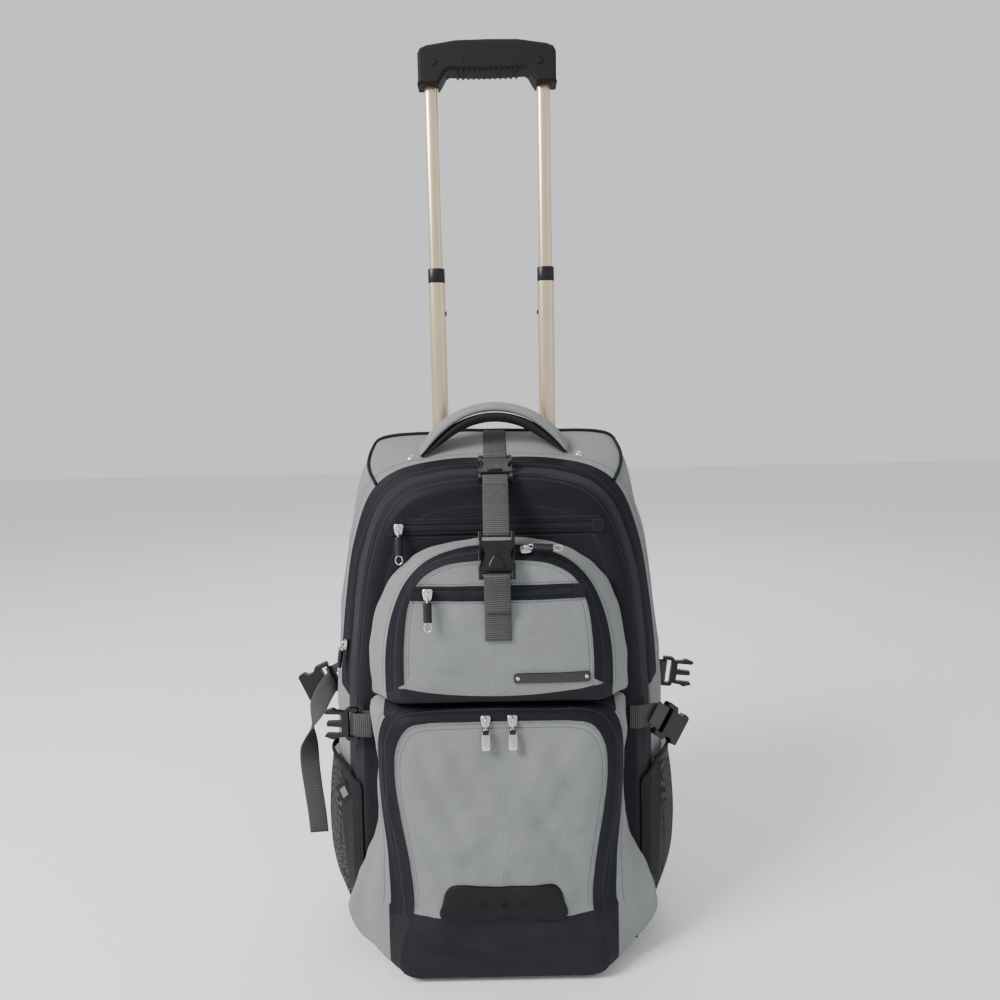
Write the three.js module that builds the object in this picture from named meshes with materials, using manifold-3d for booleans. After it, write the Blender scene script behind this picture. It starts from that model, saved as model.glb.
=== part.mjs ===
// A wheeled backpack standing on its wheels and feet with the trolley handle drawn out.
// Millimetres, +Z up, +X to the right of someone facing the front, and the front faces -Y.
// Each cloth compartment is a hollow shell: a back outline, a rim outline, a zip band and a crowned lid.
import * as THREE from 'three';
import { mergeVertices } from 'three/addons/utils/BufferGeometryUtils.js';
import Module from 'manifold-3d';

const wasm = await Module();
wasm.setup();

// Driving sizes of the whole bag
const seam = 0.3; // gap between pieces that touch
const cloth = 2; // wall of the shells
const zipGap = 0.35; // gap beside each zip band
const coilHeight = 1.3; // how far the middle of a zip band stands up
const bodyBottom = 16; // underside of the cloth body above the floor
const bodyTop = 549; // top edge of the cloth body
const mainHalfWidth = 174;
const mainSwell = 12; // how far the sides bulge at mid depth
const mainBackY = 60;
const mainRimY = -3;
const mainLidY = -15;

const frontHalfWidth = 165;
const frontTop = bodyTop - 30;
const frontRimY = -48;
const frontLidY = -60;

const pocketRimY = -93;
const pocketLidY = -105;
const pocketSplit = 292; // height where the upper pocket ends and the lower one starts
const upperHalfWidth = 131;
const upperRimHalf = 108; // half width of the upper pocket where its zip starts
const upperTop = frontTop - 65;
const upperCrown = 8;
const lowerHalfWidth = 163;
const lowerRimHalf = 120;
const lowerBottom = 5;
const lowerCrown = 15;

const backHalfWidth = 172;
const backDepth = 47.7;
const padDepth = 9;
const padHalfWidth = 128;
const padBottom = 102;
const padTop = 500;

// Wheels and base
const wheelRadius = 25;
const wheelWidth = 22;
const wheelX = 146;
const axleRadius = 3;
const axleClearance = 0.4;
const housingWall = 2.5;
const wheelClearance = 2.2;
const wheelY = mainBackY + seam + housingWall + wheelClearance + wheelRadius;
const trayThickness = 5;
const trayHalfWidth = 144;
const trayFrontY = -57;
const footX = 96;
const footY = -44;
const footLength = 26;
const footWidth = 44;

// Trolley
const tubeX = 62.5;
const tubeY = 84;
const innerTube = { wide: 15.5, deep: 11.5 };
const middleTube = { wide: 19.5, deep: 15.5 };
const outerTube = { wide: 25.5, deep: 19.5 };
const tubeWall = 1.2;
const middleTop = 740;
const tubeOverlap = 52;
const gripTop = 981;
const gripCap = 19; // how far the inner tubes end below the top of the grip
const innerTop = gripTop - gripCap;
const gripArch = 32.5; // from the top of the grip to its underside
const gripHalfWidth = 76;
const gripDepth = 28;
const gripLeg = 46;
const bezel = { halfWidth: 92, depth: 32, thick: 6 };
const catchDrop = 50; // how far the catch button sits below the top of the middle tube
const catchRadius = 3;
const catchProud = 0.8; // how far it stands out of the tube, so that it still slides into the outer tube

// Straps and buckles
const webWidth = 25;
const webThick = 1.5;
const buckleWidth = 35;
const buckleThick = 8;
const centreTail = 91; // how far the centre strap's end hangs below the top of the upper pocket
const weltDepth = 2.4;
const weltHeight = 9;
const frontWeltDown = 56; // from the top of the front compartment to its welt zip
const upperWeltDown = 46;
const barThick = 2.4;
const barDepth = 3;

// Grab handle, mesh pockets and the left strap's free tail
const grab = { y: 22, halfWidth: 82, rise: 42, wide: 30, thick: 11.5 };
const meshPocket = { bottom: 20, top: 200, backY: 42, swell: 16, wall: 1.5, dip: 10 };
const strapZ = 262; // height of the side straps
const lowerPullX = [-14, 12]; // the two pulls at the top of the lower pocket
const tail = { length: 190, aside: 27, forward: 16, width: 22 };

// The bare plate on the upper pocket and the rubber patch at the foot of the lower one
const label = { x0: 14, x1: 88, height: 10, thick: 1.6, down: 130 };
const patch = { bottom: 82, top: 115, halfWidth: 63, thick: 3, clear: 1.2 };

// Shoulder straps and their webbing, behind the bag
const shoulder = {
  top: 528, bottom: 232, topX: 46, bottomX: 98, bow: 24, wide: 64, thick: 11, webX: 132, webZ: 84,
};

const lock = { length: 26, thick: 4 }; // the ladder lock at the foot of each shoulder strap

const columns = (...names) => (rows) =>
  rows.map((row) => Object.fromEntries(names.map((name, i) => [name, row[i]])));
const v3 = (x, y, z) => new THREE.Vector3(x, y, z);
const lerp = THREE.MathUtils.lerp;

// Outlines in front view, right half from bottom centre to top centre.
// side is a share of the half width, up is a share of the height.
const outlineTable = columns('side', 'up');
const mainBackRows = outlineTable([
  [0, 0], [0.80, 0], [0.92, 0.01], [0.96, 0.05], [1.0, 0.25], [1.0, 0.45], [0.97, 0.62],
  [0.90, 0.78], [0.83, 0.90], [0.795, 0.975], [0.75, 0.998], [0.4, 1.008], [0, 1.012],
]);
const archRows = outlineTable([
  [0, 0], [0.90, 0], [0.975, 0.02], [1.0, 0.10], [1.0, 0.35], [0.975, 0.57], [0.93, 0.71],
  [0.865, 0.83], [0.75, 0.925], [0.60, 0.972], [0.35, 0.995], [0, 1.0],
]);
const upperRows = outlineTable([
  [0, 0], [0.90, 0], [0.99, 0.02], [1.0, 0.12], [0.985, 0.36], [0.92, 0.58], [0.79, 0.78],
  [0.60, 0.91], [0.30, 0.985], [0, 1.0],
]);
const upperLidRows = outlineTable([
  [0, 0], [0.92, 0], [1.0, 0.03], [1.01, 0.15], [0.99, 0.46], [0.93, 0.70], [0.80, 0.87],
  [0.56, 0.965], [0.26, 0.995], [0, 1.0],
]);
const lowerRows = outlineTable([
  [0, 0], [0.62, 0], [0.80, 0.02], [0.91, 0.06], [0.98, 0.12], [1.0, 0.18], [0.93, 0.32], [0.80, 0.50],
  [0.765, 0.66], [0.765, 0.80], [0.79, 0.93], [0.79, 0.985], [0.72, 1.0], [0, 1.0],
]);
const lowerRimRows = outlineTable([
  [0, 0], [0.80, 0], [0.95, 0.03], [0.97, 0.12], [0.90, 0.25], [0.92, 0.42], [0.98, 0.62],
  [1.0, 0.80], [0.975, 0.91], [0.88, 0.98], [0.74, 1.0], [0.38, 1.004], [0, 1.005],
]);
const lowerLidRows = outlineTable([
  [0, 0], [0.82, 0], [0.96, 0.03], [0.95, 0.13], [0.86, 0.27], [0.885, 0.45], [0.96, 0.65],
  [1.0, 0.81], [0.97, 0.92], [0.86, 0.985], [0.70, 1.0], [0.35, 1.003], [0, 1.004],
]);

const compartments = {
  main_compartment: {
    back: { rows: mainBackRows, halfWidth: mainHalfWidth, bottom: bodyBottom, top: bodyTop },
    rim: { rows: archRows, halfWidth: frontHalfWidth + 8, bottom: bodyBottom, top: frontTop + 6 },
    lid: { rows: archRows, halfWidth: frontHalfWidth + 2, bottom: bodyBottom + 2, top: frontTop + 1 },
    backY: mainBackY, rimY: mainRimY, lidY: mainLidY, swell: mainSwell, crown: 0,
    count: 36, zipFrom: 0.26,
  },
  front_compartment: {
    back: { rows: archRows, halfWidth: frontHalfWidth, bottom: bodyBottom, top: frontTop },
    rim: { rows: archRows, halfWidth: frontHalfWidth - 12, bottom: bodyBottom, top: frontTop - 4 },
    lid: { rows: archRows, halfWidth: frontHalfWidth - 22, bottom: bodyBottom + 2, top: frontTop - 12 },
    backY: mainLidY - seam, rimY: frontRimY, lidY: frontLidY, swell: 0, crown: 0,
    count: 32, zipFrom: 0.28,
  },
  upper_pocket: {
    back: { rows: upperRows, halfWidth: upperHalfWidth, bottom: pocketSplit, top: upperTop },
    rim: { rows: upperRows, halfWidth: upperRimHalf, bottom: pocketSplit + 2, top: upperTop - 4 },
    lid: { rows: upperLidRows, halfWidth: upperRimHalf - 13, bottom: pocketSplit + 9, top: upperTop - 12 },
    backY: frontLidY - seam, rimY: pocketRimY, lidY: pocketLidY, swell: 3, crown: upperCrown,
    count: 30, zipFrom: 0.195,
  },
  lower_pocket: {
    back: { rows: lowerRows, halfWidth: lowerHalfWidth, bottom: lowerBottom, top: pocketSplit - seam },
    rim: { rows: lowerRimRows, halfWidth: lowerRimHalf, bottom: lowerBottom, top: pocketSplit - seam - 2 },
    lid: { rows: lowerLidRows, halfWidth: lowerRimHalf - 11, bottom: lowerBottom + 2, top: pocketSplit - 7 },
    backY: frontLidY - seam, rimY: pocketRimY, lidY: pocketLidY, swell: 4, crown: lowerCrown,
    count: 32, zipFrom: 0.195,
  },
};

// Points of a closed outline, evenly spaced from the bottom centre and running up the right side.
function outline({ rows, halfWidth, bottom, top }, count) {
  const right = rows.map(({ side, up }) => v3(side * halfWidth, 0, lerp(bottom, top, up)));
  const left = right.slice(1, -1).reverse().map((p) => v3(-p.x, 0, p.z));
  const curve = new THREE.CatmullRomCurve3([...right, ...left], true, 'centripetal');
  curve.arcLengthDivisions = 600;
  const highest = lerp(bottom, top, Math.max(...rows.map(({ up }) => up)));
  return curve.getSpacedPoints(count).slice(0, count)
    .map((p) => p.setZ(THREE.MathUtils.clamp(p.z, bottom, highest)));
}

// The direction pointing into an outline at one of its points.
function inwardAt(points, i) {
  const before = points[(i + points.length - 1) % points.length];
  const after = points[(i + 1) % points.length];
  return v3(before.z - after.z, 0, after.x - before.x).normalize();
}

const inset = (points, distance) => points.map(
  (p, i) => p.clone().addScaledVector(inwardAt(points, i), distance),
);
const bulged = (points, amount) => points.map(
  (p, i) => v3(p.x - inwardAt(points, i).x * amount, p.y, p.z),
);

const atDepth = (points, y) => points.map((p) => v3(p.x, y, p.z));
const between = (a, b, share) => a.map((p, i) => p.clone().lerp(b[i], share));

function towards(points, share, y, centre) {
  return points.map((p) => v3(lerp(centre.x, p.x, share), y, lerp(centre.z, p.z, share)));
}

// A closed solid from its vertices and faces.
function geometryFrom(vertices, faces) {
  const flat = vertices.flatMap((p) => [p.x, p.y, p.z]);
  return new THREE.BufferGeometry()
    .setAttribute('position', new THREE.Float32BufferAttribute(flat, 3))
    .setIndex(faces);
}

function solidOf(geometry) {
  const bare = geometry.clone();
  bare.deleteAttribute('normal');
  bare.deleteAttribute('uv');
  const merged = mergeVertices(bare, 1e-4);
  return new wasm.Manifold(new wasm.Mesh({
    numProp: 3,
    vertProperties: merged.attributes.position.array,
    triVerts: new Uint32Array(merged.index.array),
  }));
}

function geometryOf(solid) {
  const mesh = solid.getMesh();
  return new THREE.BufferGeometry()
    .setAttribute('position', new THREE.Float32BufferAttribute(mesh.vertProperties, 3))
    .setIndex(new THREE.Uint32BufferAttribute(mesh.triVerts, 1));
}

const fuse = (...geometries) => geometryOf(geometries.map(solidOf).reduce((a, b) => a.add(b)));
const cut = (geometry, ...tools) => geometryOf(
  tools.map(solidOf).reduce((a, b) => a.subtract(b), solidOf(geometry)),
);

function box(x0, x1, y0, y1, z0, z1) {
  return new THREE.BoxGeometry(x1 - x0, y1 - y0, z1 - z0)
    .translate((x0 + x1) / 2, (y0 + y1) / 2, (z0 + z1) / 2);
}

function cylinderX(radius, x0, x1, y, z, sides) {
  return new THREE.CylinderGeometry(radius, radius, x1 - x0, sides)
    .rotateZ(Math.PI / 2).translate((x0 + x1) / 2, y, z);
}

// The rings of a compartment's outer face, from back to front, with the rim and lid rings named.
function outerRings(spec) {
  const { backY, rimY, lidY, swell, crown, count } = spec;
  const edge = 5;
  const back = outline(spec.back, count);
  const rim = outline(spec.rim, count);
  const lid = outline(spec.lid, count);
  const centre = v3(0, 0, (spec.lid.bottom + spec.lid.top) / 2);
  const side = (share) => atDepth(
    bulged(between(back, rim, share), swell * Math.sin(Math.PI * share)),
    lerp(backY, rimY, share),
  );
  const face = (share) => towards(lid, share, lidY - crown * (1 - share * share), centre);
  return {
    backPole: v3(0, backY, centre.z),
    frontPole: v3(0, lidY - crown, centre.z),
    rings: [
      atDepth(inset(back, edge), backY), atDepth(back, backY - edge),
      side(0.36), side(0.68), atDepth(rim, rimY), atDepth(lid, lidY), face(0.74), face(0.4),
    ],
    rimRing: 4,
  };
}

// The same rings moved inwards by the wall.
function innerRings(spec) {
  const outer = outerRings(spec);
  const deeper = (ring, inward, forward) => inset(ring, inward).map((p) => v3(p.x, p.y + forward, p.z));
  const [, , sideA, sideB, rim, lid, faceA] = outer.rings;
  return {
    backPole: outer.backPole.clone().add(v3(0, -cloth, 0)),
    frontPole: outer.frontPole.clone().add(v3(0, cloth, 0)),
    rings: [
      deeper(outer.rings[0], cloth, -cloth), deeper(sideA, cloth, 0), deeper(sideB, cloth, 0),
      deeper(rim, cloth, cloth / 2), deeper(lid, cloth, cloth), deeper(faceA, 0, cloth),
    ],
    rimRing: 3,
  };
}

const zipSpan = ({ count, zipFrom }) => {
  const first = Math.ceil(zipFrom * count);
  return { first, last: count - first };
};

// A hollow shell whose two skins meet round the slot that the zip fills.
function shell(spec) {
  const { count } = spec;
  const { first, last } = zipSpan(spec);
  const vertices = [];
  const faces = [];
  const skin = ({ rings, backPole, frontPole, rimRing }, flip) => {
    const start = vertices.length;
    vertices.push(...rings.flat(), backPole, frontPole);
    const at = (ring, i) => start + ring * count + (i % count);
    const backAt = start + rings.length * count;
    const add = (a, b, c) => faces.push(...(flip ? [a, c, b] : [a, b, c]));
    for (let i = 0; i < count; i += 1) {
      add(backAt, at(0, i + 1), at(0, i));
      add(backAt + 1, at(rings.length - 1, i), at(rings.length - 1, i + 1));
      for (let ring = 0; ring + 1 < rings.length; ring += 1) {
        const open = ring === rimRing && i >= first && i < last;
        if (!open) {
          add(at(ring, i), at(ring, i + 1), at(ring + 1, i + 1));
          add(at(ring, i), at(ring + 1, i + 1), at(ring + 1, i));
        }
      }
    }
    return (ring, i) => at(rimRing + ring, i);
  };
  const out = skin(outerRings(spec), false);
  const inn = skin(innerRings(spec), true);
  const quad = (a, b, c, d) => faces.push(a, b, c, a, c, d);
  for (let i = first; i < last; i += 1) {
    quad(out(0, i), out(0, i + 1), inn(0, i + 1), inn(0, i));
    quad(out(1, i + 1), out(1, i), inn(1, i), inn(1, i + 1));
  }
  quad(out(0, first), inn(0, first), inn(1, first), out(1, first));
  quad(out(1, last), inn(1, last), inn(0, last), out(0, last));
  return geometryFrom(vertices, faces);
}

// A solid swept through stations, each a closed list of section points. The ends are fans.
function loft(sections) {
  const sides = sections[0].length;
  const vertices = sections.flat();
  const faces = [];
  const at = (s, i) => s * sides + (i % sides);
  for (let s = 0; s + 1 < sections.length; s += 1) {
    for (let i = 0; i < sides; i += 1) {
      faces.push(at(s, i), at(s, i + 1), at(s + 1, i + 1), at(s, i), at(s + 1, i + 1), at(s + 1, i));
    }
  }
  const last = sections.length - 1;
  for (let i = 1; i + 1 < sides; i += 1) {
    faces.push(at(0, 0), at(0, i + 1), at(0, i), at(last, 0), at(last, i), at(last, i + 1));
  }
  return facingOut(vertices, faces);
}

// The solid with its faces turned outwards, whichever way they were listed.
function facingOut(vertices, faces) {
  const geometry = geometryFrom(vertices, faces);
  return solidVolume(geometry) < 0 ? geometryFrom(vertices, faces.slice().reverse()) : geometry;
}

function solidVolume(geometry) {
  const p = geometry.attributes.position;
  const index = geometry.index.array;
  const corner = (k) => v3().fromBufferAttribute(p, index[k]);
  let volume = 0;
  for (let k = 0; k < index.length; k += 3) {
    volume += corner(k).dot(corner(k + 1).cross(corner(k + 2))) / 6;
  }
  return volume;
}

// The zip that fills a compartment's slot: tape with a raised coil along its middle.
function zipBand(spec) {
  const { first, last } = zipSpan(spec);
  const outer = outerRings(spec);
  const inner = innerRings(spec);
  const rings = [
    outer.rings[outer.rimRing], outer.rings[outer.rimRing + 1],
    inner.rings[inner.rimRing + 1], inner.rings[inner.rimRing],
  ];
  const sections = [];
  for (let i = first; i <= last; i += 1) {
    const towardsNext = i === first ? 1 : -1;
    const trim = (i === first || i === last) ? zipGap : 0;
    const [a, b, c, d] = rings.map((ring) => {
      const step = ring[i + towardsNext].clone().sub(ring[i]);
      return ring[i].clone().addScaledVector(step, trim / step.length());
    });
    const across = b.clone().sub(a).normalize();
    const outward = a.clone().sub(d).add(b).sub(c).normalize();
    const lifted = a.clone().add(b).multiplyScalar(0.5).addScaledVector(outward, coilHeight);
    sections.push([
      a.addScaledVector(across, zipGap), lifted, b.addScaledVector(across, -zipGap),
      c.addScaledVector(across, -zipGap), d.addScaledVector(across, zipGap),
    ]);
  }
  return loft(sections);
}

// A strap: a flat strip along a smooth line. Each station has its place and the direction across it.
function ribbon(stations, width, thickness) {
  const sections = stations.map(({ at, across }, i) => {
    const before = stations[Math.max(0, i - 1)].at;
    const after = stations[Math.min(stations.length - 1, i + 1)].at;
    const along = after.clone().sub(before).normalize();
    const out = across.clone().cross(along).setLength(thickness / 2);
    const w = across.clone().setLength(width / 2);
    return [
      at.clone().sub(w).sub(out), at.clone().add(w).sub(out),
      at.clone().add(w).add(out), at.clone().sub(w).add(out),
    ];
  });
  return loft(sections);
}

// The same strap along a list of points, with one direction across.
const strap = (points, across, width = webWidth, thickness = webThick) => ribbon(
  points.map((at) => ({ at, across })), width, thickness,
);

// A half turn round a bar: points from the near side of the bar to its far side.
function turnRound(bar, arrive, side, radius, steps = 5) {
  return Array.from({ length: steps + 1 }, (_, k) => {
    const angle = Math.PI * (k / steps);
    return bar.clone()
      .addScaledVector(side, radius * Math.cos(angle))
      .addScaledVector(arrive, radius * Math.sin(angle));
  });
}

// A flat plate with its outline in X and Y, centred on its thickness.
function plate(points, thickness, holes = []) {
  const shape = new THREE.Shape(points.map(([x, y]) => new THREE.Vector2(x, y)));
  shape.holes = holes.map((hole) => new THREE.Path(hole.map(([x, y]) => new THREE.Vector2(x, y))));
  return new THREE.ExtrudeGeometry(shape, { depth: thickness, bevelEnabled: false })
    .translate(0, 0, -thickness / 2);
}

const rectangle = (x0, x1, y0, y1) => [[x0, y0], [x1, y0], [x1, y1], [x0, y1]];

// Buckle halves lie in X and Y: the webbing bar at y = 0, the open end towards +Y.
const buckle = {
  slotHalf: 13.5, slotDepth: 7, frameEnd: 13.5, maleEnd: 36, femaleEnd: 38,
  prongOut: 14.5, prongIn: 10.5, joined: 46,
};

function barRelief(halfWidth, end) {
  const below = box(-halfWidth, halfWidth, -1, end, -buckleThick, -barThick / 2);
  const above = box(-halfWidth, halfWidth, -1, end, barThick / 2, buckleThick);
  return [below, above];
}

function malePlate() {
  const w = buckleWidth / 2;
  const { slotHalf, slotDepth, frameEnd, maleEnd, prongOut, prongIn } = buckle;
  const right = [
    [w, 0], [w, frameEnd - 3], [w - 2, frameEnd], [prongOut - 1, frameEnd],
    [prongOut, frameEnd + 9], [prongOut + 2.2, frameEnd + 13], [prongOut - 1, maleEnd],
    [prongIn, maleEnd - 2], [prongIn, frameEnd + 4], [3, frameEnd + 4], [2.4, maleEnd - 3],
  ];
  const left = right.slice().reverse().map(([x, y]) => [-x, y]);
  const slot = rectangle(-slotHalf, slotHalf, barDepth, barDepth + slotDepth).reverse();
  return plate([...right, ...left], buckleThick - 2, [slot]);
}

function maleBuckle() {
  return cut(malePlate(), ...barRelief(buckle.slotHalf, barDepth + 1));
}

function femaleShell() {
  const w = buckleWidth / 2 + 1;
  const { slotHalf, slotDepth, femaleEnd } = buckle;
  const right = [
    [w - 1, 0], [w, 2.2], [w, 15], [w - 5, 19], [w - 5.5, 26], [w - 1, 30],
    [w - 2, femaleEnd - 1], [w - 4, femaleEnd],
  ];
  const left = right.slice().reverse().map(([x, y]) => [-x, y]);
  const slot = rectangle(-slotHalf, slotHalf, barDepth, barDepth + slotDepth).reverse();
  return plate([...right, ...left], buckleThick, [slot]);
}

function femaleBuckle() {
  const throat = box(-12, 12, 14, buckle.femaleEnd + 1, -buckleThick / 2 + 1.8, buckleThick / 2 - 1.8);
  return cut(femaleShell(), ...barRelief(buckle.slotHalf, barDepth + 1), throat);
}

// A fastened buckle, both halves as one piece, the female's bar at y = 0 and the male's at the far end.
function closedBuckle() {
  const male = malePlate().rotateZ(Math.PI).translate(0, buckle.joined, 0);
  const end = buckle.joined;
  const relief = barRelief(buckle.slotHalf, barDepth + 1);
  const farRelief = barRelief(buckle.slotHalf, barDepth + 1)
    .map((g) => g.rotateZ(Math.PI).translate(0, end, 0));
  return cut(fuse(femaleShell(), male), ...relief, ...farRelief);
}

// Places a flat piece: its X runs across, its Y along, its Z out of the surface.
function placed(geometry, at, along, out) {
  const y = along.clone().normalize();
  const z = out.clone().addScaledVector(y, -out.dot(y)).normalize();
  const x = y.clone().cross(z);
  return geometry.applyMatrix4(new THREE.Matrix4().makeBasis(x, y, z).setPosition(at));
}

// An oval tube section, as points in X and Y.
function oval(wide, deep, sides = 12) {
  const straight = (wide - deep) / 2;
  const radius = deep / 2;
  return Array.from({ length: sides }, (_, k) => {
    const angle = ((k + 0.5) / sides) * 2 * Math.PI;
    const c = Math.cos(angle);
    return [Math.sign(c) * straight + c * radius, Math.sin(angle) * radius];
  });
}

function ovalTube({ wide, deep }, z0, z1, wall = tubeWall) {
  const bore = oval(wide - 2 * wall, deep - 2 * wall).reverse();
  return plate(oval(wide, deep), z1 - z0, [bore]).translate(0, 0, (z0 + z1) / 2);
}

const ovalBar = ({ wide, deep }, grow, z0, z1) => plate(oval(wide + 2 * grow, deep + 2 * grow), z1 - z0)
  .translate(0, 0, (z0 + z1) / 2);

const bag = new THREE.Group();
bag.name = 'wheeled_backpack';

const finish = (color, roughness, metalness = 0) => new THREE.MeshStandardMaterial({
  color, roughness, metalness, side: THREE.DoubleSide,
});
const finishes = {
  greyCloth: finish(0x8f9a9a, 0.85),
  charcoalCloth: finish(0x3a363f, 0.9),
  zipTape: finish(0x24252b, 0.75),
  blackMesh: finish(0x131316, 0.95),
  webbing: finish(0x55585a, 0.85),
  blackPlastic: finish(0x121214, 0.4),
  anodised: finish(0xcdbf9b, 0.35, 0.8),
  nickel: finish(0xbdb8a8, 0.3, 1),
  rubber: finish(0x1d1d1f, 0.65),
};

function add(name, geometry, material) {
  const mesh = new THREE.Mesh(geometry, material);
  mesh.name = name;
  bag.add(mesh);
  return mesh;
}

// The cloth compartments and their zips
const clothOf = {
  main_compartment: finishes.greyCloth,
  front_compartment: finishes.charcoalCloth,
  upper_pocket: finishes.greyCloth,
  lower_pocket: finishes.greyCloth,
};
const shells = {};
for (const [name, spec] of Object.entries(compartments)) {
  shells[name] = add(name, shell(spec), clothOf[name]);
  add(`${name}_zip`, zipBand(spec), finishes.zipTape);
}

// How far forward a shell's front reaches at a place in front view, or how high its top is.
function surfaceOf(mesh, from, direction) {
  mesh.updateMatrixWorld(true);
  mesh.geometry.computeBoundingSphere();
  const hit = new THREE.Raycaster(from, direction).intersectObject(mesh, false)[0];
  return hit ? hit.point : null;
}
const farAway = 2000;
const frontAt = (name, x, z) => surfaceOf(shells[name], v3(x, -farAway, z), v3(0, 1, 0)).y;
const topAt = (name, x, y) => surfaceOf(shells[name], v3(x, y, farAway), v3(0, 0, -1)).z;

// Back panel: a hollow cloth tray behind the main compartment, with room for the trolley and the wheels
const backY0 = mainBackY + seam;
const backY1 = backY0 + backDepth;
const housing = {
  x0: wheelX - wheelWidth / 2 - wheelClearance - housingWall,
  x1: wheelX + wheelWidth / 2 + wheelClearance + housingWall,
  y0: wheelY - wheelRadius - wheelClearance - housingWall,
  z1: 2 * wheelRadius + wheelClearance + housingWall,
};
function backPanel() {
  const spec = { rows: mainBackRows, halfWidth: backHalfWidth, bottom: bodyBottom, top: bodyTop };
  const count = 32;
  const edge = 9;
  const flat = outline(spec, count);
  const tray = (grow) => loft([
    atDepth(inset(flat, 1 + grow), backY0 + grow),
    atDepth(bulged(inset(flat, grow), 2), lerp(backY0, backY1, 0.35)),
    atDepth(inset(flat, grow), backY1 - edge),
    atDepth(inset(flat, edge + grow), backY1 - grow),
  ]);
  const mouth = box(
    -bezel.halfWidth - seam, bezel.halfWidth + seam, tubeY - bezel.depth / 2 - seam,
    tubeY + bezel.depth / 2 + seam, bodyTop - 2 * bezel.thick, bodyTop + 4 * bezel.thick,
  );
  const wells = [-1, 1].map((side) => {
    const xs = [side * (housing.x0 - seam), side * (backHalfWidth + 20)].sort((a, b) => a - b);
    return box(xs[0], xs[1], housing.y0 - seam, backY1 + 20, 0, housing.z1 + seam);
  });
  return cut(tray(0), tray(cloth), mouth, ...wells);
}
shells.back_panel = add('back_panel', backPanel(), finishes.greyCloth);

const padY0 = backY1 + seam;
const padRows = outlineTable([
  [0, 0], [0.8, 0], [0.97, 0.03], [1, 0.12], [1, 0.6], [0.9, 0.9], [0.78, 0.99], [0, 1],
]);
const padLayers = columns('shrink', 'depth')([[0, 0], [0, 0.6], [10, 1]]);
add('back_pad', loft(padLayers.map(({ shrink, depth }) => atDepth(outline({
  rows: padRows, halfWidth: padHalfWidth - shrink, bottom: padBottom + shrink, top: padTop - shrink,
}, 24), padY0 + depth * padDepth))), finishes.blackMesh);

// Base: a moulded tray with wheel housings and two front feet
const trayTop = bodyBottom - seam;
const trayBottom = trayTop - trayThickness;
function baseTray() {
  const feet = [-1, 1].map((side) => box(
    side * footX - footWidth / 2, side * footX + footWidth / 2,
    footY - footLength / 2, footY + footLength / 2, 0, trayTop - 1,
  ));
  const floor = box(-trayHalfWidth, trayHalfWidth, trayFrontY, mainBackY, trayBottom, trayTop);
  const tail = box(-housing.x0 - 1, housing.x0 + 1, mainBackY - 1, backY1 - 4, trayBottom, trayTop);
  const boxes = [];
  const hollows = [];
  for (const side of [-1, 1]) {
    const across = (a, b) => [side * a, side * b].sort((p, q) => p - q);
    boxes.push(box(...across(housing.x0, housing.x1), housing.y0, backY1 - 2, trayBottom, housing.z1));
    hollows.push(box(
      ...across(housing.x0 + housingWall, housing.x1 - housingWall), housing.y0 + housingWall, backY1 + 20,
      -1, housing.z1 - housingWall,
    ));
    const [x0, x1] = across(housing.x0 - 1, housing.x1 + 1);
    hollows.push(cylinderX(axleRadius + axleClearance / 2, x0, x1, wheelY, wheelRadius, 12));
  }
  return cut(fuse(floor, tail, ...feet, ...boxes), ...hollows);
}
add('base_tray', baseTray(), finishes.blackPlastic);

// Wheels, each a hub and tyre moulded as one, on its own axle
const wheelTable = columns('across', 'radius')([
  [-0.5, 0.62], [-0.36, 0.70], [-0.46, 0.90], [-0.24, 1], [0.24, 1], [0.46, 0.90], [0.36, 0.70],
  [0.5, 0.62],
]);
const sides = [['left', -1], ['right', 1]];
const ordered = (a, b) => [Math.min(a, b), Math.max(a, b)];
for (const [name, side] of sides) {
  const bore = axleRadius + axleClearance;
  const profile = wheelTable.map(
    ({ across, radius }) => new THREE.Vector2(radius * wheelRadius, across * wheelWidth),
  );
  profile.unshift(new THREE.Vector2(bore, -wheelWidth / 2));
  profile.push(new THREE.Vector2(bore, wheelWidth / 2), profile[0].clone());
  const wheel = new THREE.LatheGeometry(profile, 16).rotateZ(Math.PI / 2);
  add(`wheel_${name}`, wheel, finishes.rubber).position.set(side * wheelX, wheelY, wheelRadius);
  const headRadius = 5;
  const headThick = 1.6;
  const headStart = housing.x1 + seam;
  const [x0, x1] = ordered(side * (housing.x0 + 0.2), side * headStart);
  const headX = ordered(side * headStart, side * (headStart + headThick));
  add(`axle_${name}`, fuse(
    cylinderX(axleRadius, x0, x1, wheelY, wheelRadius, 12),
    cylinderX(headRadius, headX[0], headX[1], wheelY, wheelRadius, 12),
  ), finishes.nickel);
}

// Trolley
const outerTop = bodyTop - 2;
const outerBottom = bodyBottom + cloth + seam;
const middleBottom = outerTop - tubeOverlap;
const innerBottom = middleTop - tubeOverlap;
for (const [name, side] of sides) {
  const place = (mesh) => mesh.position.set(side * tubeX, tubeY, 0);
  place(add(`outer_tube_${name}`, ovalTube(outerTube, outerBottom, outerTop), finishes.anodised));
  place(add(`inner_tube_${name}`, ovalTube(innerTube, innerBottom, innerTop), finishes.anodised));
  const catchEnds = [innerTube.wide / 2 + seam, middleTube.wide / 2 + catchProud];
  const [x0, x1] = ordered(-side * catchEnds[0], -side * catchEnds[1]);
  const catchZ = middleTop - catchDrop;
  const hole = cylinderX(catchRadius + seam, x0, x1, 0, catchZ, 10);
  const middle = cut(ovalTube(middleTube, middleBottom, middleTop), hole);
  place(add(`middle_tube_${name}`, middle, finishes.anodised));
  place(add(`catch_button_${name}`, cylinderX(catchRadius, x0, x1, 0, catchZ, 10), finishes.nickel));
}

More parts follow.
